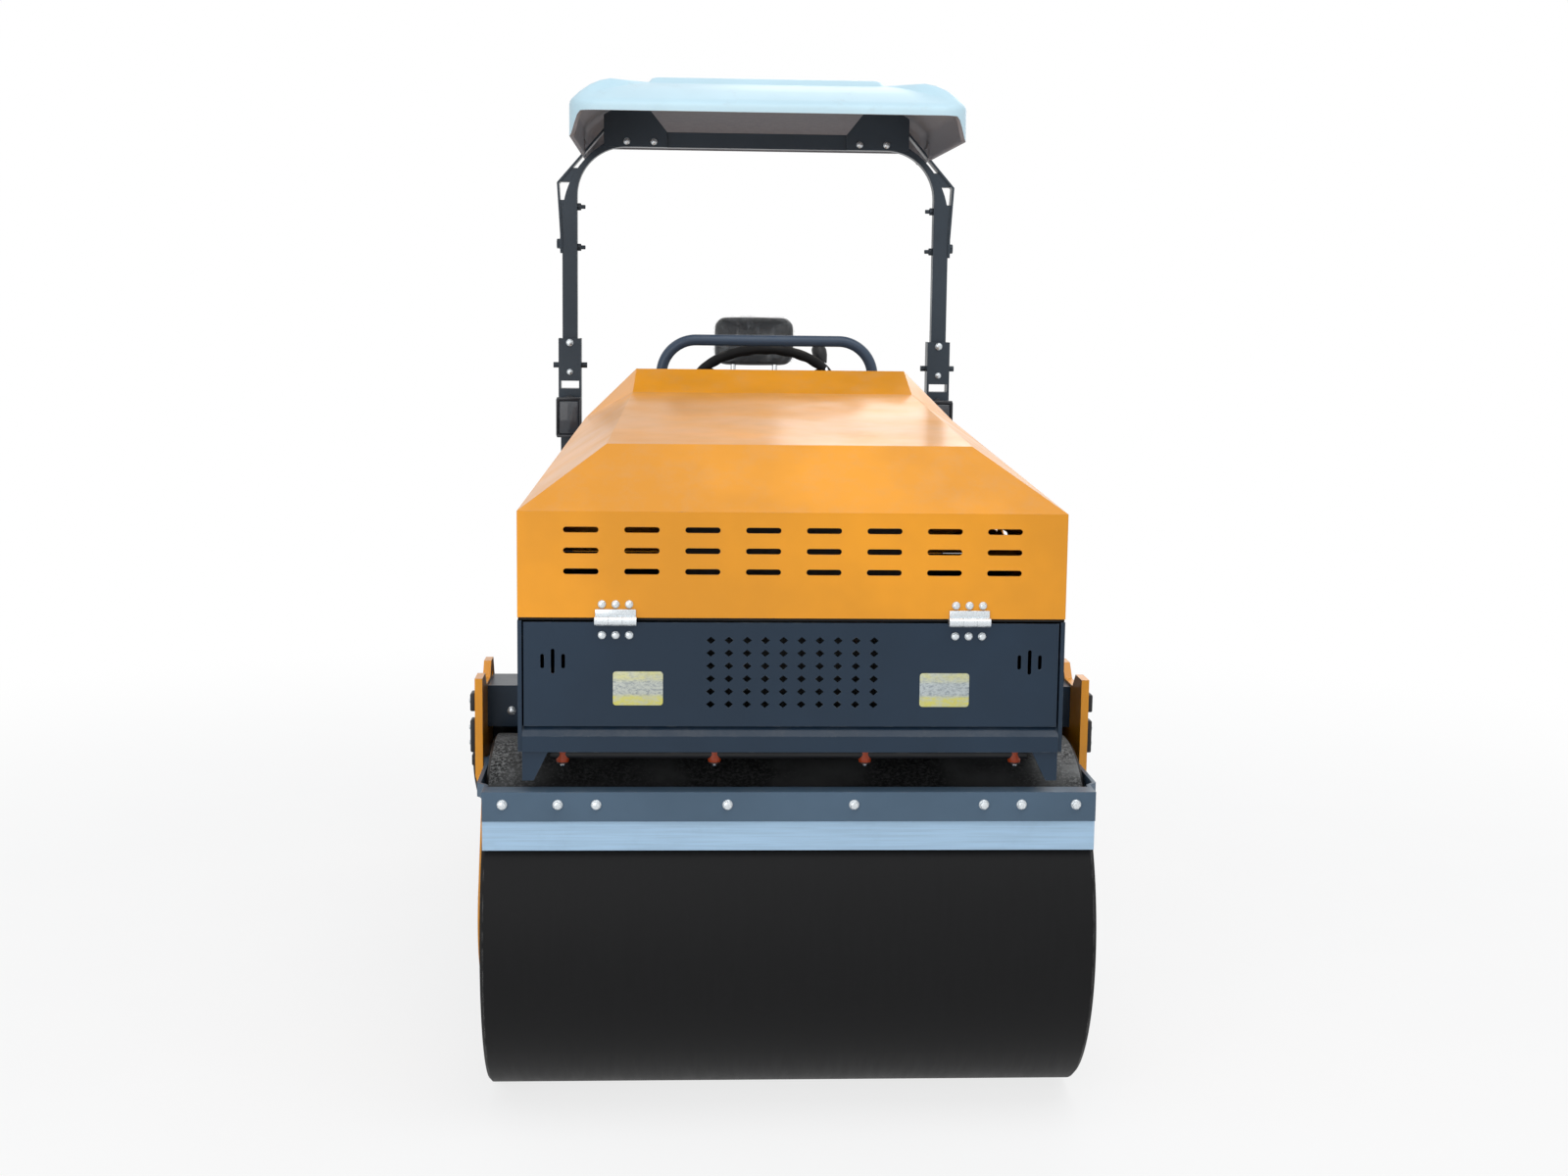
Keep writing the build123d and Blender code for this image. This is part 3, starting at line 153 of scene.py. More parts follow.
class Finish:
    """A material under construction, with its pattern placed on object coordinates."""

    def __init__(self, name):
        self.material = bpy.data.materials.new(name)
        self.material.use_nodes = True
        self.tree = self.material.node_tree
        self.tree.nodes.clear()
        self.place = put(self.tree, "TexCoord")
        self.shader = put(self.tree, "BsdfPrincipled")
        out = put(self.tree, "OutputMaterial")
        self.tree.links.new(self.shader.outputs[0], out.inputs[0])

    def set(self, **values):
        for key, value in values.items():
            socket = self.shader.inputs[key.replace("_", " ")]
            if isinstance(value, bpy.types.NodeSocket):
                self.tree.links.new(value, socket)
            else:
                socket.default_value = value
        return self

    def stretched(self, scale):
        return put(self.tree, "Mapping", {"Vector": self.place.outputs["Object"], "Scale": scale}).outputs[0]

    def noise(self, scale, detail=3.0, stretch=None, rough=0.55):
        where = self.stretched(stretch) if stretch else self.place.outputs["Object"]
        return put(self.tree, "TexNoise", {"Vector": where, "Scale": scale, "Detail": detail,
                                           "Roughness": rough}).outputs[0]

    def cells(self, scale, feature="F1"):
        return put(self.tree, "TexVoronoi", {"Vector": self.place.outputs["Object"], "Scale": scale},
                   feature=feature).outputs[0]

    def spread(self, value, low, high, start=0.0, end=1.0):
        """Remaps low..high to start..end with soft ends."""
        return put(self.tree, "MapRange", {"Value": value, "From Min": low, "From Max": high, "To Min": start,
                                           "To Max": end}, interpolation_type="SMOOTHSTEP").outputs[0]

    def sum(self, kind, first, second):
        return put(self.tree, "Math", {0: first, 1: second}, operation=kind, use_clamp=kind != "SUBTRACT").outputs[0]

    def blend(self, share, first, second):
        return put(self.tree, "Mix", {0: share, 6: first, 7: second}, data_type="RGBA").outputs[2]

    def facing(self, axis="Z"):
        return put(self.tree, "SeparateXYZ", {0: self.place.outputs["Normal"]}).outputs[axis]

    def at(self, axis):
        return put(self.tree, "SeparateXYZ", {0: self.place.outputs["Object"]}).outputs[axis]

    def rounded(self, radius):
        """Normal with softened edges."""
        return put(self.tree, "Bevel", {"Radius": radius}, samples=4).outputs[0]

    def edges(self, radius):
        """Near 1 on sharp edges and 0 on flats."""
        geometry = put(self.tree, "NewGeometry")
        dot = put(self.tree, "VectorMath", {0: self.rounded(radius), 1: geometry.outputs["True Normal"]},
                  operation="DOT_PRODUCT").outputs["Value"]
        return self.spread(dot, 0.98, 0.80)

    def bump(self, height, strength, distance, normal=None):
        inputs = {"Height": height, "Strength": strength, "Distance": distance}
        if normal is not None:
            inputs["Normal"] = normal
        self.set(Normal=put(self.tree, "Bump", inputs).outputs[0])
        return self


DUST = tone(186, 178, 166)
PRIMER = tone(120, 124, 126)


def paint(name, colour, roughness=0.36, coat=0.35, dust=1.0, wear=0.5, gleam=0.5):
    """Sprayed paint: faint ripples, uneven tone, thin edges and dust where it settles."""
    look = settings("paint")
    finish = Finish(name)
    colour = tuple(colour)
    darker = scaled(colour, 0.86)
    lighter = scaled(colour, 1.07)
    patches = finish.noise(2.3, 4)
    base = finish.blend(finish.spread(patches, 0.35, 0.68), darker, lighter)
    chips = finish.sum("MULTIPLY", finish.edges(0.0022), finish.spread(finish.noise(38, 5), 0.52, 0.66, 0, wear))
    base = finish.blend(chips, base, PRIMER)
    lying = finish.spread(finish.facing(), 0.35, 1.0)
    low = finish.spread(finish.at("Z"), 0.75, 0.10, 0.0, 0.75)
    mottled = finish.spread(finish.noise(17, 6, rough=0.7), 0.42, 0.74)
    film = finish.sum("MULTIPLY", finish.sum("MAXIMUM", lying, low), mottled)
    film = finish.sum("MULTIPLY", film, look.dust * dust)
    base = finish.blend(film, base, DUST)
    finish.set(Base_Color=base, Roughness=finish.spread(finish.sum("ADD", film, finish.noise(6, 3)), 0.3, 1.1,
                                                        roughness - 0.05, roughness + 0.25),
               Specular_IOR_Level=gleam, Coat_Weight=coat, Coat_Roughness=0.14)
    ripple = finish.noise(1 / look.peel, 2)
    finish.bump(ripple, 0.05, 0.0006, finish.rounded(look.edge))
    return finish.material


def drum_paint(name, colour):
    """Black drum paint with faint rolling marks round it, and paler grey mottling on its upward faces, stronger
    towards the rims.
    """
    finish = Finish(name)
    base = tuple(colour)
    marks = finish.noise(26, 5, stretch=(3.0, 0.35, 0.35))
    tone_1 = finish.blend(finish.spread(marks, 0.3, 0.75), base, scaled(base, 1.14))
    speckle = finish.spread(finish.noise(150, 6, rough=0.8), 0.42, 0.62)
    cloud = finish.spread(finish.noise(5, 5), 0.40, 0.66)
    # paler grey mottling on upward faces, stronger towards the rims
    lying = finish.spread(finish.facing(), 0.72, 0.98)
    low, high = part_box("front_drum_shell")
    across = put(finish.tree, "Math", {0: finish.at("X")}, operation="ABSOLUTE").outputs[0]
    rim = finish.spread(across, high.x - 0.12, high.x - 0.01, 0.25, 1.0)
    film = finish.sum("MULTIPLY", finish.sum("MULTIPLY", lying, rim), finish.sum("MAXIMUM", speckle, cloud))
    scuffed = finish.sum("MULTIPLY", finish.edges(0.004), finish.spread(finish.noise(30, 4), 0.4, 0.6, 0, 0.8))
    base = finish.blend(scuffed, tone_1, tone(150, 150, 150))
    base = finish.blend(finish.sum("MULTIPLY", film, 0.85), base, tone(168, 170, 170))
    finish.set(Base_Color=base, Roughness=finish.spread(marks, 0.2, 0.8, 0.50, 0.56), Specular_IOR_Level=0.14)
    finish.bump(marks, 0.04, 0.0004, finish.rounded(0.003))
    return finish.material


def steel(name, colour, roughness, grain=(1, 60, 60), metal=1.0, stain=0.3):
    """Plain or plated steel with a fine drawn grain and a few stains."""
    finish = Finish(name)
    colour = tuple(colour)
    grain_1 = finish.noise(9, 4, stretch=grain)
    stains = finish.spread(finish.noise(11, 6, rough=0.7), 0.50, 0.78, 0, stain)
    base = finish.blend(finish.spread(grain_1, 0.3, 0.7), scaled(colour, 0.86), colour)
    base = finish.blend(stains, base, scaled(colour, 0.45))
    finish.set(Base_Color=base, Metallic=metal, Roughness=finish.spread(grain_1, 0.2, 0.8, roughness - 0.06,
                                                                       roughness + 0.10))
    finish.bump(grain_1, 0.06, 0.0004, finish.rounded(0.0012))
    return finish.material


def plastic(name, colour, roughness=0.48, grain=900.0, depth=0.12, gleam=0.4, dust=0.12, coat=0.0):
    """Moulded plastic or rubber with a fine pebbled grain."""
    finish = Finish(name)
    colour = tuple(colour)
    pebbles = finish.cells(grain)
    patches = finish.noise(7, 4)
    base = finish.blend(finish.spread(patches, 0.3, 0.7), scaled(colour, 0.85), colour)
    film = finish.sum("MULTIPLY", finish.spread(finish.facing(), 0.2, 1.0),
                      finish.spread(finish.noise(25, 6, rough=0.7), 0.4, 0.7, 0, dust))
    base = finish.blend(film, base, DUST)
    finish.set(Base_Color=base, Roughness=finish.spread(patches, 0.3, 0.7, roughness - 0.04, roughness + 0.08),
               Specular_IOR_Level=gleam, Coat_Weight=coat, Coat_Roughness=0.1)
    finish.bump(pebbles, depth, 0.0004, finish.rounded(0.0015))
    return finish.material


def roof_plastic(name, top):
    """Gel-coated roof: pale, with a soft gloss and faint cloudy runs."""
    finish = Finish(name)
    base = finish.blend(finish.spread(finish.noise(3, 3), 0.35, 0.65), scaled(top, 0.94),
                        tuple(top))
    streaks = finish.spread(finish.noise(7, 6, stretch=(2, 0.5, 4), rough=0.7), 0.55, 0.8, 0, 0.22)
    base = finish.blend(streaks, base, tone(176, 180, 180))
    finish.set(Base_Color=base, Roughness=finish.spread(streaks, 0, 0.22, 0.36, 0.5), Specular_IOR_Level=0.3)
    finish.bump(finish.noise(14, 3), 0.04, 0.002, finish.rounded(0.002))
    return finish.material


def lining(name, colour):
    """Rough grey fibre inside the roof; its grey is darkened so it also stands as painted shade on the underside."""
    finish = Finish(name)
    fibres = finish.noise(60, 6, stretch=(1, 3, 1), rough=0.75)
    base = finish.blend(finish.spread(fibres, 0.3, 0.7), scaled(colour, 0.8), tuple(colour))
    finish.set(Base_Color=base, Roughness=finish.spread(fibres, 0.3, 0.7, 0.62, 0.78), Specular_IOR_Level=0.25)
    finish.bump(fibres, 0.2, 0.0008)
    return finish.material


def vinyl(name, colour):
    """Seat vinyl: fine creased grain with soft folds."""
    finish = Finish(name)
    grain = finish.cells(520, "DISTANCE_TO_EDGE")
    folds = finish.noise(14, 4)
    base = finish.blend(finish.spread(folds, 0.3, 0.7), scaled(colour, 0.75), tuple(colour))
    lying = finish.sum("MULTIPLY", finish.spread(finish.facing(), 0.3, 1.0),
                       finish.spread(finish.noise(40, 6, rough=0.7), 0.45, 0.7, 0, 0.1))
    finish.set(Base_Color=finish.blend(lying, base, DUST), Roughness=finish.spread(folds, 0.3, 0.7, 0.42, 0.56),
               Specular_IOR_Level=0.45)
    height = finish.sum("ADD", finish.spread(grain, 0.0, 0.08), finish.sum("MULTIPLY", folds, 0.6))
    finish.bump(height, 0.35, 0.0007)
    return finish.material


def glass(name, colour, roughness=0.08, ribs=0.0):
    """Coloured lens, ribbed where asked."""
    finish = Finish(name)
    waves = finish.noise(55, 3)
    finish.set(Base_Color=finish.blend(finish.spread(waves, 0.3, 0.7), scaled(colour, 0.9),
                                       tuple(colour)),
               Roughness=roughness, Coat_Weight=0.6, Coat_Roughness=0.05)
    if ribs:
        ridges = put(finish.tree, "TexWave", {"Vector": finish.place.outputs["Object"], "Scale": ribs},
                     bands_direction="X").outputs["Fac"]
        finish.bump(ridges, 0.4, 0.001)
    else:
        finish.bump(waves, 0.1, 0.001)
    return finish.material


def film_clear(name):
    """Thin clear film with real gloss and bumped creases, whose creases are also painted pale and more opaque as
    painted highlights.
    """
    finish = Finish(name)
    creases_and_glints = finish.noise(34, 4, stretch=(1, 1, 0.45), rough=0.6)
    # painted highlight: the pale colour and the higher alpha follow the creases
    finish.set(Base_Color=finish.blend(finish.spread(creases_and_glints, 0.3, 0.7), tone(214, 222, 228), tone(240, 246, 250)),
               Alpha=finish.spread(creases_and_glints, 0.45, 0.75, 0.06, 0.26), Roughness=0.2, Specular_IOR_Level=0.6)
    finish.bump(creases_and_glints, 0.3, 0.0012)
    return finish.material


def hose_rubber(name):
    """Cloth-wrapped hose with a little dust."""
    finish = Finish(name)
    cloth = finish.noise(420, 2)
    dust = finish.spread(finish.noise(30, 5), 0.45, 0.75, 0, 0.2)
    finish.set(Base_Color=finish.blend(dust, tone(24, 24, 26), DUST), Roughness=0.62, Specular_IOR_Level=0.3)
    finish.bump(cloth, 0.25, 0.0006)
    return finish.material


def plate_print(name, low, high, ground, band):
    """Blank data plate: worn silvery sheet with a yellowed head and foot."""
    finish = Finish(name)
    brushed = finish.noise(30, 5, stretch=(1, 1, 25), rough=0.7)
    tall = high - low
    foot = finish.spread(finish.at("Z"), low + tall * 0.36, low + tall * 0.24)
    head = finish.spread(finish.at("Z"), low + tall * 0.66, low + tall * 0.82, 0.0, 0.6)
    worn = finish.spread(finish.noise(60, 5, stretch=(1, 1, 2), rough=0.7), 0.35, 0.6, 0.35, 1.0)
    tint = finish.sum("MULTIPLY", finish.sum("MAXIMUM", foot, head), worn)
    base = finish.blend(tint, tuple(ground), tuple(band))
    smears = finish.spread(finish.noise(95, 6, stretch=(1, 1, 2.5), rough=0.8), 0.44, 0.62, 0, 0.75)
    centre = finish.sum("MULTIPLY", smears, finish.sum("SUBTRACT", 1.0, finish.sum("MAXIMUM", foot, head)))
    base = finish.blend(centre, base, tone(118, 128, 138))
    scuffs = finish.spread(finish.noise(140, 6, rough=0.8), 0.52, 0.74, 0, 0.22)
    base = finish.blend(scuffs, base, tone(120, 122, 112))
    finish.set(Base_Color=base, Roughness=finish.spread(brushed, 0.3, 0.7, 0.3, 0.45), Metallic=0.15)
    finish.bump(brushed, 0.06, 0.0003)
    return finish.material


# ---- mesh helpers ----
def placed(name, data):
    """A new object, linked to the scene."""
    thing = bpy.data.objects.new(name, data)
    bpy.context.scene.collection.objects.link(thing)
    return thing


def baked(thing):
    """A mesh copy of an object with its modifiers applied."""
    bpy.context.view_layer.update()
    return bpy.data.meshes.new_from_object(thing.evaluated_get(bpy.context.evaluated_depsgraph_get()))


def keep(name, mesh, finish, body, smooth=None):
    """Links a finished mesh as a piece that rides on a body."""
    piece = placed(name, mesh)
    if finish is not None:
        mesh.materials.clear()
        mesh.materials.append(finish)
    if smooth is not None:
        shade(mesh, smooth)
    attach(piece, body)
    return piece


def add_piece(name, work, finish, body, smooth):
    """A bmesh becomes a piece with a named finish."""
    return keep(name, to_mesh(name, work), FINISH[finish], body, smooth)


def shade(mesh, degrees):
    """Smooth shading, with edges sharper than the angle kept crisp."""
    work = bmesh.new()
    work.from_mesh(mesh)
    for face in work.faces:
        face.smooth = True
    for edge in work.edges:
        edge.smooth = len(edge.link_faces) == 2 and edge.calc_face_angle(0) < math.radians(degrees)
    work.to_mesh(mesh)
    work.free()


def to_mesh(name, work):
    bmesh.ops.recalc_face_normals(work, faces=work.faces)
    mesh = bpy.data.meshes.new(name)
    work.to_mesh(mesh)
    work.free()
    return mesh


def add_box(work, low, high, bevel=0.0, segments=2, turn=None):
    """A box with rounded edges between two corners, turned about its middle where asked."""
    low, high = Vector(low), Vector(high)
    size, centre = high - low, (low + high) / 2
    part = bmesh.new()
    bmesh.ops.create_cube(part, size=1, matrix=Matrix.Diagonal((*size, 1)))
    if bevel:
        bmesh.ops.bevel(part, geom=part.edges[:], offset=bevel, segments=segments, profile=0.5, affect="EDGES")
    stand = Matrix.Translation(centre) @ (turn.to_4x4() if turn else Matrix.Identity(4))
    bmesh.ops.transform(part, matrix=stand, verts=part.verts)
    merge(work, part)


def add_block(work, centre, half, bevel=0.0, segments=1, turn=None):
    """A box given by its middle and half sizes."""
    half = Vector(half)
    add_box(work, centre - half, centre + half, bevel, segments, turn)


def band(work, one, two, slot=0):
    """Faces between two closed rings of the same length."""
    for i in range(len(one)):
        j = (i + 1) % len(one)
        work.faces.new((one[i], one[j], two[j], two[i])).material_index = slot


def merge(work, part):
    scrap = bpy.data.meshes.new("scrap")
    part.to_mesh(scrap)
    part.free()
    work.from_mesh(scrap)
    bpy.data.meshes.remove(scrap)


def frame_along(direction):
    """Rotation that takes +Z to a direction."""
    return Vector(direction).to_track_quat("Z", "Y").to_matrix().to_4x4()


def add_turned(work, profile, place, direction, sides=32):
    """A turned piece from (radius, height) points, standing at a place along a direction."""
    part = bmesh.new()
    rings = []
    for radius, height in profile:
        if radius == 0:
            rings.append([part.verts.new((0, 0, height))])
        else:
            rings.append([part.verts.new((radius * math.cos(a), radius * math.sin(a), height))
                          for a in (2 * math.pi * i / sides for i in range(sides))])
    for lower, upper in zip(rings, rings[1:]):
        for i in range(sides):
            j = (i + 1) % sides
            corners = [lower[i % len(lower)], lower[j % len(lower)], upper[j % len(upper)], upper[i % len(upper)]]
            unique = list(dict.fromkeys(corners))
            if len(unique) > 2:
                part.faces.new(unique)
    for ring, flip in ((rings[0], True), (rings[-1], False)):
        if len(ring) > 1:
            part.faces.new(ring[::-1] if flip else ring)
    bmesh.ops.transform(part, matrix=Matrix.Translation(place) @ frame_along(direction), verts=part.verts)
    merge(work, part)


def tube_mesh(name, points, radius, sides=5, order=3):
    """A smooth round tube that follows a few chosen points."""
    curve = bpy.data.curves.new(name, "CURVE")
    curve.dimensions = "3D"
    curve.resolution_u = 10
    curve.bevel_depth = radius
    curve.bevel_resolution = sides
    curve.use_fill_caps = True
    line = curve.splines.new("NURBS")
    line.points.add(len(points) - 1)
    for point, spot in zip(line.points, points):
        point.co = (*spot, 1)
    line.order_u = order
    line.use_endpoint_u = True
    holder = placed(name, curve)
    mesh = baked(holder)
    bpy.data.objects.remove(holder)
    bpy.data.curves.remove(curve)
    return mesh


def add_tube(work, points, radius, sides=5):
    mesh = tube_mesh("run", points, radius, sides)
    work.from_mesh(mesh)
    bpy.data.meshes.remove(mesh)


# ---- geometry node trees ----
def gn(tree, kind, inputs=None, **options):
    """Adds a node; an input may be a value or another node's output."""
    node = tree.nodes.new(kind)
    for key, value in options.items():
        setattr(node, key, value)
    for socket, value in (inputs or {}).items():
        if isinstance(value, bpy.types.NodeSocket):
            tree.links.new(value, node.inputs[socket])
        else:
            node.inputs[socket].default_value = value
    return node


def new_tree(name, sizes, finish):
    """A node tree with named inputs that ends in Realize Instances and Set Material."""
    tree = bpy.data.node_groups.new(name, "GeometryNodeTree")
    tree.interface.new_socket("Geometry", in_out="INPUT", socket_type="NodeSocketGeometry")
    for label, kind, default in sizes:
        socket = tree.interface.new_socket(label, in_out="INPUT", socket_type=kind)
        socket.default_value = default
    tree.interface.new_socket("Geometry", in_out="OUTPUT", socket_type="NodeSocketGeometry")
    source = gn(tree, "NodeGroupInput")
    sink = gn(tree, "NodeGroupOutput")
    real = gn(tree, "GeometryNodeRealizeInstances")
    coat = gn(tree, "GeometryNodeSetMaterial", {"Geometry": real.outputs[0], "Material": finish})
    tree.links.new(coat.outputs[0], sink.inputs[0])
    return tree, source, real


def attribute(tree, name, kind):
    return gn(tree, "GeometryNodeInputNamedAttribute", {"Name": name}, data_type=kind).outputs["Attribute"]


def bolt_tree(finish):
    """Flanged hexagon heads on points that carry an aim and a width."""
    share = settings("fasteners").height
    seed = settings("fasteners").seed
    tree, source, real = new_tree("Flanged heads", [
        ("Head Height", "NodeSocketFloat", share), ("Flange Height", "NodeSocketFloat", 0.10),
        ("Across Corners", "NodeSocketFloat", 0.40), ("Seed", "NodeSocketInt", seed)], finish)
    flange = gn(tree, "GeometryNodeMeshCone", {"Vertices": 20, "Radius Bottom": 0.5, "Radius Top": 0.43,
                                               "Depth": source.outputs["Flange Height"]})
    body = gn(tree, "GeometryNodeMeshCone", {"Vertices": 6, "Radius Bottom": source.outputs["Across Corners"],
                                             "Radius Top": source.outputs["Across Corners"],
                                             "Depth": source.outputs["Head Height"]})
    crown = gn(tree, "GeometryNodeMeshCone", {"Vertices": 6, "Radius Bottom": source.outputs["Across Corners"],
                                              "Radius Top": 0.31, "Depth": 0.05})
    lift = gn(tree, "ShaderNodeCombineXYZ", {"Z": source.outputs["Head Height"]})
    top = gn(tree, "GeometryNodeTransform", {"Geometry": crown.outputs[0], "Translation": lift.outputs[0]})
    head = gn(tree, "GeometryNodeJoinGeometry")
    for part in (flange, body, top):
        tree.links.new(part.outputs[0], head.inputs[0])
    aim = gn(tree, "FunctionNodeAlignRotationToVector", {"Vector": attribute(tree, "aim", "FLOAT_VECTOR")}, axis="Z")
    spread = gn(tree, "GeometryNodeInstanceOnPoints", {
        "Points": source.outputs["Geometry"], "Instance": head.outputs[0], "Rotation": aim.outputs[0],
        "Scale": attribute(tree, "width", "FLOAT")})
    chance = gn(tree, "FunctionNodeRandomValue", {"Seed": source.outputs["Seed"]}, data_type="FLOAT")
    turn = gn(tree, "ShaderNodeCombineXYZ", {"Z": chance.outputs[1]})
    turned = gn(tree, "GeometryNodeRotateInstances", {"Instances": spread.outputs[0], "Rotation": turn.outputs[0]})
    tree.links.new(turned.outputs[0], real.inputs[0])
    return tree


def point_cloud(name, spots, **attributes):
    """Loose vertices with an attribute list for each name."""
    mesh = bpy.data.meshes.new(name)
    mesh.from_pydata([tuple(spot) for spot in spots], [], [])
    for label, values in attributes.items():
        vector = hasattr(values[0], "__len__")
        data = mesh.attributes.new(label, "FLOAT_VECTOR" if vector else "FLOAT", "POINT").data
        flat = [c for value in values for c in value] if vector else values
        data.foreach_set("vector" if vector else "value", flat)
    return mesh


def grown(name, seed_mesh, tree, finish, body, slot, smooth=35, **inputs):
    """Runs a node tree on a mesh and keeps the plain result as a piece."""
    holder = placed(name + "_seed", seed_mesh)
    modifier = holder.modifiers.new("grow", "NODES")
    modifier.node_group = tree
    for item in tree.interface.items_tree:
        if item.in_out == "INPUT" and item.name in inputs:
            modifier[item.identifier] = inputs[item.name]
    mesh = baked(holder)
    mesh.name = name
    bpy.data.objects.remove(holder)
    return keep(name, mesh, finish, body, smooth)


def bolts(name, body, rows, finish="zinc"):
    """Rows of (place, aim, width) become one piece of flanged heads."""
    spots, aims, widths = zip(*rows)
    seed = point_cloud(name, spots, aim=[tuple(Vector(a).normalized()) for a in aims], width=list(widths))
    return grown(name, seed, TREES["bolts"], FINISH[finish], body, "bare_steel")


def both(rows):
    """The same fasteners on either side."""
    return [(Vector((s * p[0], p[1], p[2])), Vector((s * a[0], a[1], a[2])), w) for p, a, w in rows for s in (-1, 1)]


def other_end(rows):
    """The same fasteners at the driver's end."""
    return [(Vector((-p[0], -p[1], p[2])), Vector((-a[0], -a[1], a[2])), w) for p, a, w in rows]


FINISH = {}
TREES = {}
FRONT, UP = Vector((0, -1, 0)), Vector((0, 0, 1))


# ---- operators ----
class ROLLER_OT_finishes(bpy.types.Operator):
    """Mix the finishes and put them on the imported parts"""
    bl_idname = "roller.finishes"
    bl_label = "Finishes"

    def execute(self, context):
        look = settings("paint")
        FINISH.update(
            yellow=paint("Yellow paint", look.hood, 0.36, 0.30, 0.5, 0.5, 0.35),
            blue=paint("Blue paint", look.body, 0.38, 0.12, 0.3, 0.6, 0.22),
            beam=paint("Beam paint", tone(80, 102, 122), 0.38, 0.12, 0.3, 0.6, 0.22),
            bar=paint("Roll bar paint", look.bar, 0.40, 0.08, 0.3, 0.4, 0.26),
            rail=paint("Grab rail paint", look.rail, 0.36, 0.1, 0.5, 0.5, 0.25),
            drum=drum_paint("Drum paint", look.drum),
            blade=steel("Blade steel", look.blade, 0.42, (0.7, 1, 26), 0.25, 0.14),
            zinc=steel("Zinc plate", tone(224, 230, 234), 0.28, (40, 40, 40), 0.75, 0.15),
            chrome=steel("Chrome", tone(216, 218, 220), 0.12, (40, 4, 40), 1.0, 0.05),
            iron=paint("Engine paint", tone(70, 72, 74), 0.5, 0.0, 1.0, 0.3, 0.4),
            motor=paint("Motor paint", tone(36, 37, 40), 0.42, 0.1, 0.8, 0.7, 0.4),
            roof=roof_plastic("Roof gel coat", look.roof),
            # the lining's grey is partly the fibre's own colour and partly painted shade
            lining=lining("Roof lining", look.lining),
            black=plastic("Black plastic", tone(30, 31, 34)),
            rubber=plastic("Rubber", tone(26, 26, 27), 0.7, 500, 0.2, 0.25),
            seat=vinyl("Seat vinyl", tone(38, 39, 42)),
            hose=hose_rubber("Wrapped hose"),
            lamp=plastic("Lamp case", tone(40, 43, 50), 0.35, 700, 0.06, 0.5),
            lens=glass("Lamp lens", tone(44, 50, 60), 0.10, ribs=110),
            film=film_clear("Clear film"),
            red=glass("Red lens", tone(176, 24, 20), 0.12, ribs=90),
            amber=glass("Amber lens", tone(224, 120, 24), 0.12, ribs=90),
            dial=plastic("Dial face", tone(14, 15, 17), 0.5, 1500, 0.02, 0.3, 0.0),
            mark=plastic("Dial marks", tone(225, 228, 230), 0.5, 1500, 0.02, 0.3, 0.0),
            brass=plastic("Nozzle body", tone(176, 66, 26), 0.36, 900, 0.05, 0.4, 0.1),
        )
        slots = {
            "yellow_paint": "yellow", "tank_plastic": "yellow", "blue_paint": "blue", "rops_paint": "bar",
            "rail_paint": "rail", "drum_paint": "drum", "blade_steel": "blade", "bare_steel": "zinc",
            "engine_metal": "iron", "canopy_plastic": "roof", "black_plastic": "black", "seat_vinyl": "seat",
            "lamp_case": "lamp", "motor_paint": "motor",
        }
        given = {part["node"]: part["material_slot"] for part in frame["record"]["subparts"]}
        given_finish = {node: slots[slot] for node, slot in given.items()}
        given_finish["cylinder_rod"] = "chrome"
        given_finish["front_scraper_beam"] = given_finish["rear_scraper_beam"] = "beam"
        for node, finish in given_finish.items():
            materials = NODES[node].data.materials
            if not materials:
                materials.append(FINISH[finish])
            for i in range(len(materials)):
                materials[i] = FINISH[finish]
        TREES["bolts"] = bolt_tree(FINISH["zinc"])
        return {"FINISHED"}


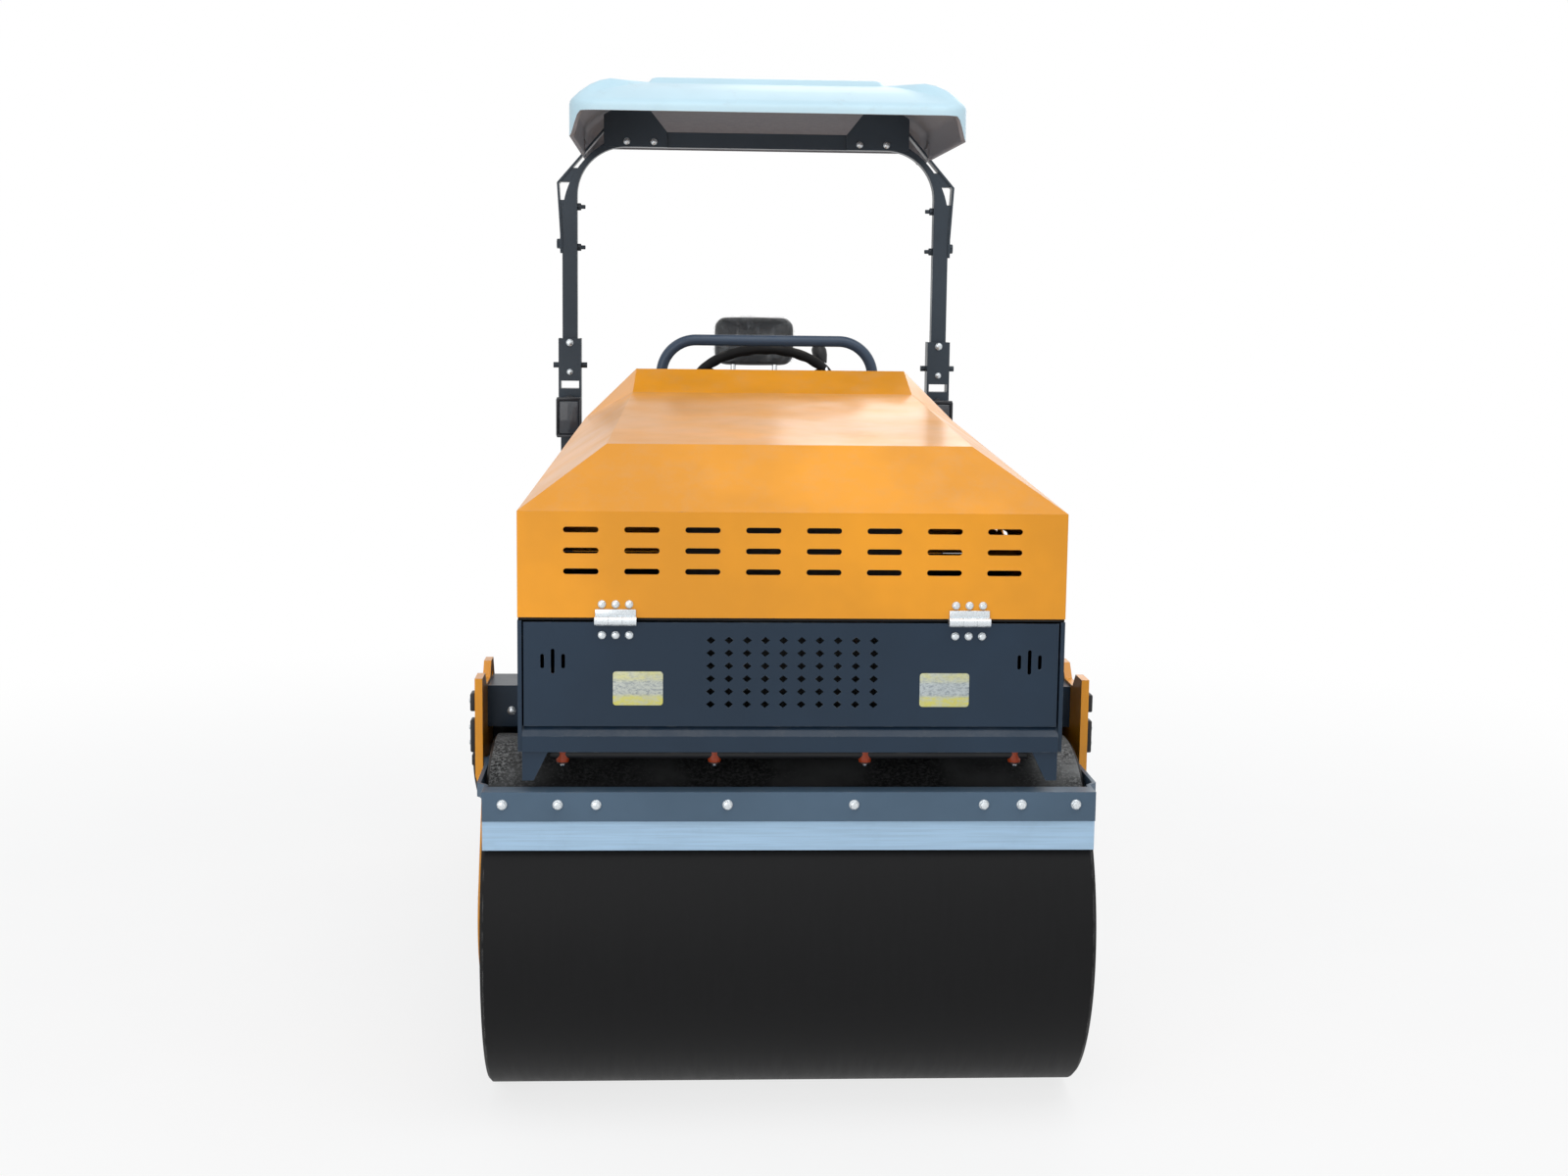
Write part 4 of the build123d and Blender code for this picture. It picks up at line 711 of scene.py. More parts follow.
class ROLLER_OT_fasteners(bpy.types.Operator):
    """Bolts, screws and nuts on every body"""
    bl_idname = "roller.fasteners"
    bl_label = "Fasteners"

    BEAM_BOLTS_X = (0.123, 0.377, 0.451, 0.558)
    ARM_Y = -0.71  # middle of the carriers' upper bolts
    ARM_BOLTS_Z = (0.742, 0.79)
    POST_Y = 0.890  # middle of the roll bar's posts
    STRAP_BOLTS_Z = (1.875, 1.762)
    GUSSET_BOLTS = (0.290, 0.366, 2.057)  # x, x and z
    MOTOR_CIRCLE = 0.062
    HEAD_CIRCLE = 0.1125
    HEAD_FACE_X = 0.520  # outer face of the drum heads

    def execute(self, context):
        sizes = settings("fasteners")
        low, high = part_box("front_scraper_beam")
        beam = both([((x, low.y, high.z - 0.025), FRONT, sizes.beam) for x in self.BEAM_BOLTS_X])
        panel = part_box("front_panel")[0].y
        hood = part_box("hood_shell")[0]
        hinge_x = (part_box("hinge_upper_leaves")[1].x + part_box("hinge_lower_leaves")[1].x) / 2 - 0.04
        screw_x = [hinge_x + dx for dx in (-0.026, 0, 0.026)]
        panel_screws = both([((x, panel, hood.z - 0.034), FRONT, sizes.hinge) for x in screw_x])
        hood_screws = both([((x, hood.y, hood.z + 0.026), FRONT, sizes.hinge) for x in screw_x])
        face_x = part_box("front_carriers")[1].x
        plate = both([((face_x, self.ARM_Y + dy, z), (1, 0, 0), 0.026) for dy in (-0.045, 0.045)
                      for z in self.ARM_BOLTS_Z])
        arm = both([((0.570, -0.780, 0.756), FRONT, 0.019)])
        bolts("front_bolts", "front_frame", beam + panel_screws + plate + arm)
        bolts("hood_screws", "hood", hood_screws)
        panel_low, panel_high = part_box("rear_panel")
        cover = both([((x, -panel_high.y, (panel_low.z + panel_high.z) / 2), FRONT, 0.016) for x in (0.12, 0.46)])
        bolts("rear_bolts", "rear_frame", other_end(beam + plate + arm + cover) + self.feet(sizes))
        bolts("bar_bolts", "rops", self.bar(sizes))
        self.motor_bolts()
        self.drum_bolts()
        return {"FINISHED"}

    def feet(self, sizes):
        """Front bolts and pin nuts of the fixed channels."""
        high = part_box("rops_feet")[1]
        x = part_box("rops_arch")[1].x - 0.021
        rows = [((x, 0.858, high.z - 0.012), FRONT, sizes.bar)]
        rows += [((x, 0.858, high.z - 0.095), FRONT, 0.018)]
        rows += [((0.512, self.POST_Y + dy, z), (1, 0, 0), 0.024) for dy in (-0.05, 0.05) for z in (0.842, 0.866)]
        return both(rows)

    def bar(self, sizes):
        """Through bolts of the straps and the gussets."""
        low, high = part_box("rops_arch")
        inner = high.x - 0.042
        levels = self.STRAP_BOLTS_Z
        tails = bmesh.new()
        for side in (-1, 1):
            for z in levels:
                spot = Vector((side * inner, self.POST_Y, z))
                add_turned(tails, [(0.0058, -0.002), (0.0058, 0.021), (0.0046, 0.0225), (0, 0.0225)], spot,
                           (-side, 0, 0), 14)
                add_turned(tails, [(0.0115, 0.0), (0.0115, 0.009), (0.0095, 0.0105)], spot, (-side, 0, 0), 6)
        add_piece("bar_bolt_tails", tails, "bar", "rops", 35)
        caps = [((high.x + 0.006, self.POST_Y, z), (1, 0, 0), 0.026) for z in (levels[0] - 0.100, levels[1] + 0.006)]
        bolts("bar_nuts", "rops", both(caps), "bar")
        *spots, level = self.GUSSET_BOLTS
        return both([((x, low.y, level), FRONT, 0.020) for x in spots])

    def motor_bolts(self):
        """Screws and a cover round each drive motor's outer face."""
        for body, node in (("front_frame", "front_motors"), ("rear_frame", "rear_motors")):
            centre = middle(node)
            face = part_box(node)[1].x
            covers = bmesh.new()
            rows = []
            for side in (-1, 1):
                spot = Vector((side * face, centre.y, centre.z))
                profile = [(0.043, -0.001), (0.043, 0.0015), (0.040, 0.003), (0.022, 0.003), (0.019, 0.0045),
                           (0.0, 0.0045)]
                add_turned(covers, profile, spot, (side, 0, 0), 40)
                for a in (math.radians(30 + 60 * i) for i in range(6)):
                    out = Vector((0, math.cos(a), math.sin(a)))
                    rows.append((spot + out * self.MOTOR_CIRCLE, (side, 0, 0), 0.015))
            add_piece(body + "_motor_covers", covers, "motor", body, 35)
            bolts(body + "_motor_bolts", body, rows)

    def drum_bolts(self):
        """Bolt circles on the drum heads, which turn with the drums."""
        for body in ("front_drum", "rear_drum"):
            centre = middle(body + "_axle")
            rows = []
            for a in (2 * math.pi * i / 12 for i in range(12)):
                spot = centre + Vector((0, math.cos(a), math.sin(a))) * self.HEAD_CIRCLE
                for side in (-1, 1):
                    rows.append((Vector((side * self.HEAD_FACE_X, spot.y, spot.z)), Vector((side, 0, 0)), 0.014))
            bolts(body + "_head_bolts", body, rows)


class ROLLER_OT_hinges(bpy.types.Operator):
    """Visible leaves above the hood hinges' knuckles"""
    bl_idname = "roller.hinges"
    bl_label = "Hood hinges"

    def execute(self, context):
        low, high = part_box("hinge_upper_leaves")
        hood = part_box("hood_shell")[0]
        work = bmesh.new()
        for side in (-1, 1):
            x = side * (high.x - 0.04)
            add_box(work, (x - 0.039, hood.y - 0.006, hood.z + 0.001), (x + 0.039, hood.y - 0.0005, hood.z + 0.017),
                    0.0012)
        add_piece("hinge_leaves", work, "zinc", "hood", 30)
        return {"FINISHED"}


class ROLLER_OT_plates(bpy.types.Operator):
    """Blank data plates on the front panel"""
    bl_idname = "roller.plates"
    bl_label = "Data plates"

    def execute(self, context):
        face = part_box("front_panel")[0].y
        tall = 0.033  # half the plates' height
        for name, x, z, ground in (("plate_left", -0.297, 0.8805, tone(196, 200, 190)),
                                   ("plate_right", 0.295, 0.8785, tone(190, 198, 198))):
            work = bmesh.new()
            self.sheet(work, x, z, face, tall)
            finish = plate_print("Plate " + name[6:], z - tall, z + tall, ground, tone(214, 208, 108))
            keep(name, to_mesh(name, work), finish, "front_frame", 30)
        return {"FINISHED"}

    def sheet(self, work, x, z, face, tall):
        """Thin plate with rounded corners and a slight bow."""
        half, corner, thick = 0.048, 0.006, 0.0012
        rim = []
        for sx, sz, start in ((1, 1, 0), (-1, 1, 90), (-1, -1, 180), (1, -1, 270)):
            for step in range(5):
                a = math.radians(start + 22.5 * step)
                rim.append((sx * (half - corner) + corner * math.cos(a), sz * (tall - corner) + corner * math.sin(a)))
        lower = [work.verts.new((x + u, face, z + v)) for u, v in rim]
        upper = [work.verts.new((x + u, face - thick, z + v)) for u, v in rim]
        inner = [work.verts.new((x + u * 0.985, face - thick - 0.0004, z + v * 0.978)) for u, v in rim]
        band(work, lower, upper)
        band(work, upper, inner)
        work.faces.new(inner)
        work.faces.new(lower[::-1])


class ROLLER_OT_nozzles(bpy.types.Operator):
    """Coloured nozzle bodies and their bright tips on both spray bars"""
    bl_idname = "roller.nozzles"
    bl_label = "Spray nozzles"

    def execute(self, context):
        for body, node in (("front_frame", "front_spray_bar"), ("rear_frame", "rear_spray_bar")):
            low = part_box(node)[0]
            centre = middle(node)
            cups, tips = bmesh.new(), bmesh.new()
            for i in range(4):
                x = (i - 1.5) * 0.296
                spot = Vector((x, centre.y, low.z + 0.004))
                add_turned(cups, [(0.0060, 0.0), (0.0100, 0.0015), (0.0124, 0.005), (0.0131, 0.010), (0.0124, 0.016),
                                  (0.0122, 0.034)], spot, UP, 20)
                add_turned(tips, [(0.0, 0.0), (0.0052, 0.0), (0.0064, 0.0015), (0.0064, 0.007)],
                           Vector((x, centre.y, low.z - 0.0005)), UP, 16)
            add_piece(body + "_nozzles", cups, "brass", body, 40)
            add_piece(body + "_nozzle_tips", tips, "chrome", body, 40)
        return {"FINISHED"}


class ROLLER_OT_roof(bpy.types.Operator):
    """Moulded roof with soft shoulders, a raised middle, lipped skirts and a grey lining that is partly painted shade
    """
    bl_idname = "roller.roof"
    bl_label = "Roof"

    INSETS = (0.0, 0.0015, 0.006, 0.025, 0.050, 0.075, 0.100, 0.145, 0.186)
    SIDE_DROP = (0.083, 0.076, 0.069, 0.051, 0.034, 0.022, 0.0145, 0.0140, 0.0135)
    END_DROP = (0.090, 0.083, 0.077, 0.067, 0.056, 0.045, 0.036, 0.024, 0.0165)
    CROWN = ((0.193, 0.0135), (0.202, 0.0035), (0.210, 0.0005), (0.216, 0.0), (0.250, 0.0), (0.256, 0.003),
             (0.262, 0.0045), (0.330, 0.0045), (0.400, 0.0045), (0.460, 0.0045))

    def execute(self, context):
        look = settings("roof")
        low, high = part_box("canopy")
        self.high = high
        self.half = Vector((high.x, (high.y - low.y) / 2))
        self.centre = Vector((0, (low.y + high.y) / 2))
        arch = middle("rops_straps").y
        gap = look.gap / 2
        length = self.half.y - look.corner
        edges = [(arch + d - self.centre.y) / length for d in (-gap - 0.001, -gap, gap, gap + 0.001)]
        along = sorted([-1 + 2 * i / 16 for i in range(1, 16)] + edges)
        across = [-1 + 2 * i / 16 for i in range(1, 16)]
        self.rim = []
        for quarter, steps in enumerate((across, along, across, along[::-1])):
            for i in range(13):
                self.rim.append(("corner", quarter, i / 12))
            for t in steps:
                self.rim.append(("edge", quarter, t))
        work = bmesh.new()
        wall = look.wall
        rows = [(u, [high.z - drop for drop in self.blended(level)]) for level, u in enumerate(self.INSETS)]
        rows += [(u, [high.z - drop] * len(self.rim)) for u, drop in self.CROWN]
        feet = self.feet(arch, gap)
        outer = [self.ring(work, 0.0, feet)] + [self.ring(work, u, z) for u, z in rows]
        inner = [self.ring(work, 0.010, feet), self.ring(work, 0.010, [z + 0.008 for z in feet]),
                 self.ring(work, wall, [z + 0.012 for z in feet])]
        inner += [self.ring(work, u + wall, [h - wall for h in z]) for u, z in rows[:-1]]
        self.skin(work, outer, 0)
        # inner faces take slot 1, the lining, whose grey is partly painted shade
        self.skin(work, [outer[0]] + inner, 1)
        mesh = to_mesh("roof_shell", work)
        for finish in ("roof", "lining"):
            mesh.materials.append(FINISH[finish])
        roof = keep("roof_shell", mesh, None, "rops", 50)
        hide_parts("canopy")
        spot = high.z - self.SIDE_DROP[-1] + 0.0002
        bolts("roof_bolts", "rops", both([((x, arch, spot), UP, 0.022) for x in (0.328, 0.368)]))
        return {"FINISHED"}

    def share(self, place):
        """0 on the ends, 1 on the sides, and between them round a corner."""
        kind, quarter, t = place
        if kind == "edge":
            return float(quarter % 2)
        turn = t * t * (3 - 2 * t)
        return turn if quarter % 2 == 1 else 1 - turn

    def blended(self, level):
        side, end = self.SIDE_DROP[level], self.END_DROP[level]
        return [end + (side - end) * self.share(place) for place in self.rim]

    def feet(self, arch, gap):
        """Height of the skirt's foot at each place on the rim."""
        look = settings("roof")
        heights = []
        for place in self.rim:
            kind, quarter, t = place
            spot = self.spot(place, 0.0)
            end = look.front if spot.y < self.centre.y else look.back
            share = self.share(place)
            share = min(1.0, max(0.0, (share - 0.35) / 0.6))
            foot = self.high.z - end - (look.side - end) * share * share * (3 - 2 * share)
            if kind == "edge" and quarter % 2 == 1 and abs(spot.y - arch) < gap + 0.0005:
                foot = self.high.z - look.side + look.slot
            heights.append(foot)
        return heights

    def spot(self, place, inset):
        """A place on the rim, moved in."""
        kind, quarter, t = place
        radius = max(settings("roof").corner - inset, 0.012)
        reach = Vector((self.half.x - inset - radius, self.half.y - inset - radius))
        if kind == "corner":
            start = (180, 270, 0, 90)[quarter]
            signs = ((-1, -1), (1, -1), (1, 1), (-1, 1))[quarter]
            angle = math.radians(start + 90 * t)
            centre = Vector((signs[0] * reach.x, signs[1] * reach.y))
            flat = centre + Vector((math.cos(angle), math.sin(angle))) * radius
        else:
            fixed = (Vector((0, -1)), Vector((1, 0)), Vector((0, 1)), Vector((-1, 0)))[quarter]
            run = (Vector((1, 0)), Vector((0, 1)), Vector((-1, 0)), Vector((0, -1)))[quarter]
            edge = Vector((fixed.x * (self.half.x - inset), fixed.y * (self.half.y - inset)))
            way = -t if quarter == 3 else t
            flat = edge + Vector((run.x * reach.x, run.y * reach.y)) * way
        return flat + self.centre

    def ring(self, work, inset, heights):
        return [work.verts.new((*self.spot(place, inset), z)) for place, z in zip(self.rim, heights)]

    def skin(self, work, rings, slot):
        for lower, upper in zip(rings, rings[1:]):
            band(work, lower, upper, slot)
        work.faces.new(rings[-1]).material_index = slot


class ROLLER_OT_lamps(bpy.types.Operator):
    """Work lamp rims and glasses, and tail lamps"""
    bl_idname = "roller.lamps"
    bl_label = "Lamps"

    TAIL_X = 0.345

    def execute(self, context):
        low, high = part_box("work_lamps")
        rim, glasses = bmesh.new(), bmesh.new()
        bars = [(0, dz, 0.034, 0.004) for dz in (-0.0525, 0.0525)]
        bars += [(dx, 0, 0.003, 0.052) for dx in (-0.0325, 0.0325)]
        for side in (-1, 1):
            x, z = side * (high.x - 0.035), low.z + 0.055
            add_box(glasses, (x - 0.029, low.y - 0.003, z - 0.048), (x + 0.029, low.y + 0.004, z + 0.048), 0.006, 3)
            for dx, dz, wide, tall in bars:
                add_box(rim, (x + dx - wide, low.y - 0.005, z + dz - tall),
                        (x + dx + wide, low.y + 0.006, z + dz + tall), 0.002)
        add_piece("work_lamp_rims", rim, "lamp", "rear_frame", 35)
        add_piece("work_lamp_glasses", glasses, "lens", "rear_frame", 35)
        panel_low, panel_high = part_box("rear_panel")
        z = (panel_low.z + panel_high.z) / 2
        cases, reds, ambers = bmesh.new(), bmesh.new(), bmesh.new()
        for side in (-1, 1):
            x, y = side * self.TAIL_X, panel_high.y
            add_box(cases, (x - 0.075, y - 0.001, z - 0.028), (x + 0.075, y + 0.012, z + 0.028), 0.005, 2)
            split = x + side * 0.022
            for lens, near, far in ((reds, x - side * 0.069, split), (ambers, split + side * 0.003, x + side * 0.069)):
                near, far = sorted((near, far))
                add_box(lens, (near, y + 0.004, z - 0.023), (far, y + 0.019, z + 0.023), 0.005, 3)
        add_piece("tail_lamp_cases", cases, "black", "rear_frame", 35)
        add_piece("tail_lamp_reds", reds, "red", "rear_frame", 35)
        add_piece("tail_lamp_ambers", ambers, "amber", "rear_frame", 35)
        return {"FINISHED"}


class ROLLER_OT_seat(bpy.types.Operator):
    """Padded seat with sewn channels, and the clear film over its headrest"""
    bl_idname = "roller.seat"
    bl_label = "Seat"

    LEAN = 8  # degrees that the backrest leans
    BACK_FOOT = 1.100
    REST = (1.433, 1.581)  # foot and top of the headrest

    def execute(self, context):
        low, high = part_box("seat_cushion")
        cushion = self.pad("seat_cushion_pad", low, high, Matrix.Identity(4), self.cushion_form, 0.045)
        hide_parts("seat_cushion")
        low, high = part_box("seat_back")
        lean = Matrix.Rotation(math.radians(-self.LEAN), 4, "X")
        thick = 0.085
        foot = Vector((0, low.y + 0.002, self.BACK_FOOT))
        place = Matrix.Translation(foot) @ lean
        back = self.pad("seat_back_pad", Vector((low.x, 0, 0)), Vector((high.x, thick, 0.290)), place, self.back_form,
                        0.040)
        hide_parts("seat_back")
        low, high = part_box("headrest")
        rise = math.cos(math.radians(self.LEAN))
        span = [(level - foot.z) / rise for level in self.REST]
        rest = self.pad("headrest_pad", Vector((low.x, 0, span[0])), Vector((high.x, 0.080, span[1])), place,
                        self.rest_form, 0.032)
        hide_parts("headrest")
        self.film(rest)
        posts = bmesh.new()
        for side in (-1, 1):
            start = place @ Vector((side * 0.06, 0.040, 0.28))
            axis = place.to_3x3() @ UP
            add_turned(posts, [(0.008, 0.0), (0.008, span[0] - 0.255)], start, axis, 20)
            add_turned(posts, [(0.016, 0.006), (0.016, 0.012), (0.012, 0.016)], start, axis, 20)
        add_piece("headrest_posts", posts, "chrome", "rear_frame", 40)
        return {"FINISHED"}

    def film(self, rest):
        """Clear wrapping film drawn over the headrest, open below, with ridged wrinkles."""
        look = settings("seat")
        noise.seed_set(look.film_seed)  # unseeded, noise_vector differs in each Blender run
        work = bmesh.new()
        work.from_mesh(rest.data)
        low = min(v.co.z for v in work.verts)
        below = [f for f in work.faces if f.calc_center_median().z < low + 0.012]
        bmesh.ops.delete(work, geom=below, context="FACES")
        for vert in work.verts:
            normal = vert.normal.copy()
            where = vert.co * 16 + Vector((3.1, 0, 7.7))
            ridge = 1 - abs(noise.fractal(where + noise.noise_vector(vert.co * 9) * 0.8, 0.6, 2.1, 4)) * 2.6
            vert.co += normal * (0.0018 + 0.0042 * max(0.0, ridge) ** 2)
        mesh = bpy.data.meshes.new("headrest_film")
        work.to_mesh(mesh)
        work.free()
        film = keep("headrest_film", mesh, FINISH["film"], "rear_frame", 60)

    def pad(self, name, low, high, place, form, corner):
        """Rounded block, swollen by cloth simulation, then shaped and set in place."""
        look = settings("seat")
        work = bmesh.new()
        add_box(work, low + Vector((0.006,) * 3), high - Vector((0.006,) * 3), min(corner, (high - low)[1] * 0.42), 4)
        piece = placed(name, to_mesh(name, work))
        remesh = piece.modifiers.new("remesh", "REMESH")
        remesh.mode = "VOXEL"
        remesh.voxel_size = look.voxel
        self.settle(piece)
        before = self.points(piece)
        cloth = piece.modifiers.new("cloth", "CLOTH")
        cloth.settings.use_pressure = True
        cloth.settings.uniform_pressure_force = look.pressure
        cloth.settings.effector_weights.gravity = 0
        cloth.settings.quality = 4
        cloth.point_cache.frame_end = 16
        for step in range(1, 17):
            bpy.context.scene.frame_set(step)
        shape = baked(piece)
        after = np.array([v.co for v in shape.vertices])
        move = after - before
        length = np.maximum(np.linalg.norm(move, axis=1), 1e-9)
        move *= np.minimum(1, look.swell / length)[:, None]
        before = before + move
        piece.modifiers.clear()
        bpy.data.meshes.remove(shape)
        bpy.context.scene.frame_set(1)
        co = form(before, np.array(low), np.array(high))
        piece.data.vertices.foreach_set("co", co.astype(np.float32).ravel())
        smooth = piece.modifiers.new("smooth", "SUBSURF")
        smooth.levels = smooth.render_levels = 1
        self.settle(piece)
        piece.data.transform(place)
        piece.data.materials.clear()
        piece.data.materials.append(FINISH["seat"])
        shade(piece.data, 80)
        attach(piece, "rear_frame")
        return piece

    @staticmethod
    def points(piece):
        return np.array([v.co for v in piece.data.vertices])

    @staticmethod
    def settle(piece):
        """Applies the live modifiers to the mesh."""
        mesh = baked(piece)
        piece.modifiers.clear()
        old = piece.data
        piece.data = mesh
        bpy.data.meshes.remove(old)

    def groove(self, value, lines, width=0.006):
        """Depth of sewn channels along lines of constant value."""
        depth = np.zeros(len(value))
        for line in lines:
            depth = np.maximum(depth, np.exp(-((value - line) / width) ** 2))
        return depth * settings("seat").channel

    def cushion_form(self, co, low, high):
        """Raised side bolsters, cross channels in the middle and a rounded front."""
        out = co.copy()
        x, y, z = co.T
        top = np.clip((z - (high[2] - 0.045)) / 0.03, 0, 1)
        half = high[0]
        edge = np.clip((np.abs(x) - half * 0.62) / (half * 0.16), 0, 1)
        out[:, 2] -= top * (1 - edge) * 0.014
        inner = top * (np.abs(x) < half * 0.66)
        out[:, 2] -= inner * self.groove(y, [low[1] + 0.10 + 0.075 * i for i in range(4)])
        out[:, 2] -= top * self.groove(np.abs(x), [half * 0.66], 0.005)
        return out

    def back_form(self, co, low, high):
        """Backrest with bolsters and cross channels on its front face."""
        out = co.copy()
        x, y, z = co.T
        face = np.clip(((low[1] + 0.04) - y) / 0.03, 0, 1)
        half = high[0]
        edge = np.clip((np.abs(x) - half * 0.60) / (half * 0.18), 0, 1)
        out[:, 1] += face * (1 - edge) * 0.014
        inner = face * (np.abs(x) < half * 0.64)
        out[:, 1] += inner * self.groove(z, [0.07, 0.145, 0.22])
        out[:, 1] += face * self.groove(np.abs(x), [half * 0.64], 0.005)
        return out

    def rest_form(self, co, low, high):
        """Headrest with one channel across it."""
        out = co.copy()
        x, y, z = co.T
        face = np.clip(((low[1] + 0.035) - y) / 0.025, 0, 1)
        centre = (low[2] + high[2]) / 2
        out[:, 1] += face * self.groove(z, [centre - 0.02], 0.006)
        return out


class ROLLER_OT_wheel(bpy.types.Operator):
    """Steering wheel with a grip, spokes and a hub cap"""
    bl_idname = "roller.wheel"
    bl_label = "Steering wheel"

    TILT = -37
    HUB = (0.300, 1.390)
    RIM = 0.180
    GRIP = 0.0127

    def execute(self, context):
        centre = middle("steering_wheel")
        tilt = Matrix.Rotation(math.radians(self.TILT), 4, "X")
        place = Matrix.Translation(Vector((centre.x, *self.HUB))) @ tilt
        rim = bmesh.new()
        around, across = 144, 20
        rows = []
        for i in range(around):
            a = 2 * math.pi * i / around
            out = Vector((math.cos(a), math.sin(a), 0))
            grip = 0.0009 * math.cos(24 * a)
            row = []
            for j in range(across):
                b = 2 * math.pi * j / across
                under = 1 if math.sin(b) < 0.2 else 0.3
                r = self.GRIP + grip * under
                row.append(rim.verts.new(out * (self.RIM + r * math.cos(b)) + UP * r * math.sin(b)))
            rows.append(row)
        for i in range(around):
            for j in range(across):
                k, m = (i + 1) % around, (j + 1) % across
                rim.faces.new((rows[i][j], rows[k][j], rows[k][m], rows[i][m]))
        spokes = bmesh.new()
        for i in range(3):
            a = math.radians(90 + 120 * i)
            turn = Matrix.Rotation(a, 4, "Z")
            part = bmesh.new()
            wide, thick = [0.019, 0.015, 0.013, 0.014], [0.005, 0.0042, 0.004, 0.005]
            rings = []
            for r, w, t, z in zip((0.030, 0.085, 0.140, 0.174), wide, thick, (-0.004, -0.006, -0.003, 0.0)):
                rings.append([part.verts.new((r, y, z + h)) for y, h in (
                    (-w, -t * 0.5), (-w * 0.7, -t), (w * 0.7, -t), (w, -t * 0.5), (w, t * 0.5), (w * 0.7, t),
                    (-w * 0.7, t), (-w, t * 0.5))])
            for lower, upper in zip(rings, rings[1:]):
                band(part, lower, upper)
            part.faces.new(rings[0][::-1])
            part.faces.new(rings[-1])
            bmesh.ops.transform(part, matrix=turn, verts=part.verts)
            merge(spokes, part)
        hub = bmesh.new()
        add_turned(hub, [(0.026, -0.019), (0.038, -0.016), (0.044, -0.006), (0.045, 0.004), (0.042, 0.010),
                         (0.034, 0.0135), (0.032, 0.0125), (0.030, 0.0165), (0.018, 0.0185), (0, 0.019)],
                   Vector(), UP, 48)
        for work in (rim, spokes, hub):
            bmesh.ops.transform(work, matrix=place, verts=work.verts)
        wheel = add_piece("wheel_rim", rim, "rubber", "rear_frame", 60)
        add_piece("wheel_spokes", spokes, "black", "rear_frame", 30)
        add_piece("wheel_hub", hub, "black", "rear_frame", 30)
        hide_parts("steering_wheel")
        return {"FINISHED"}


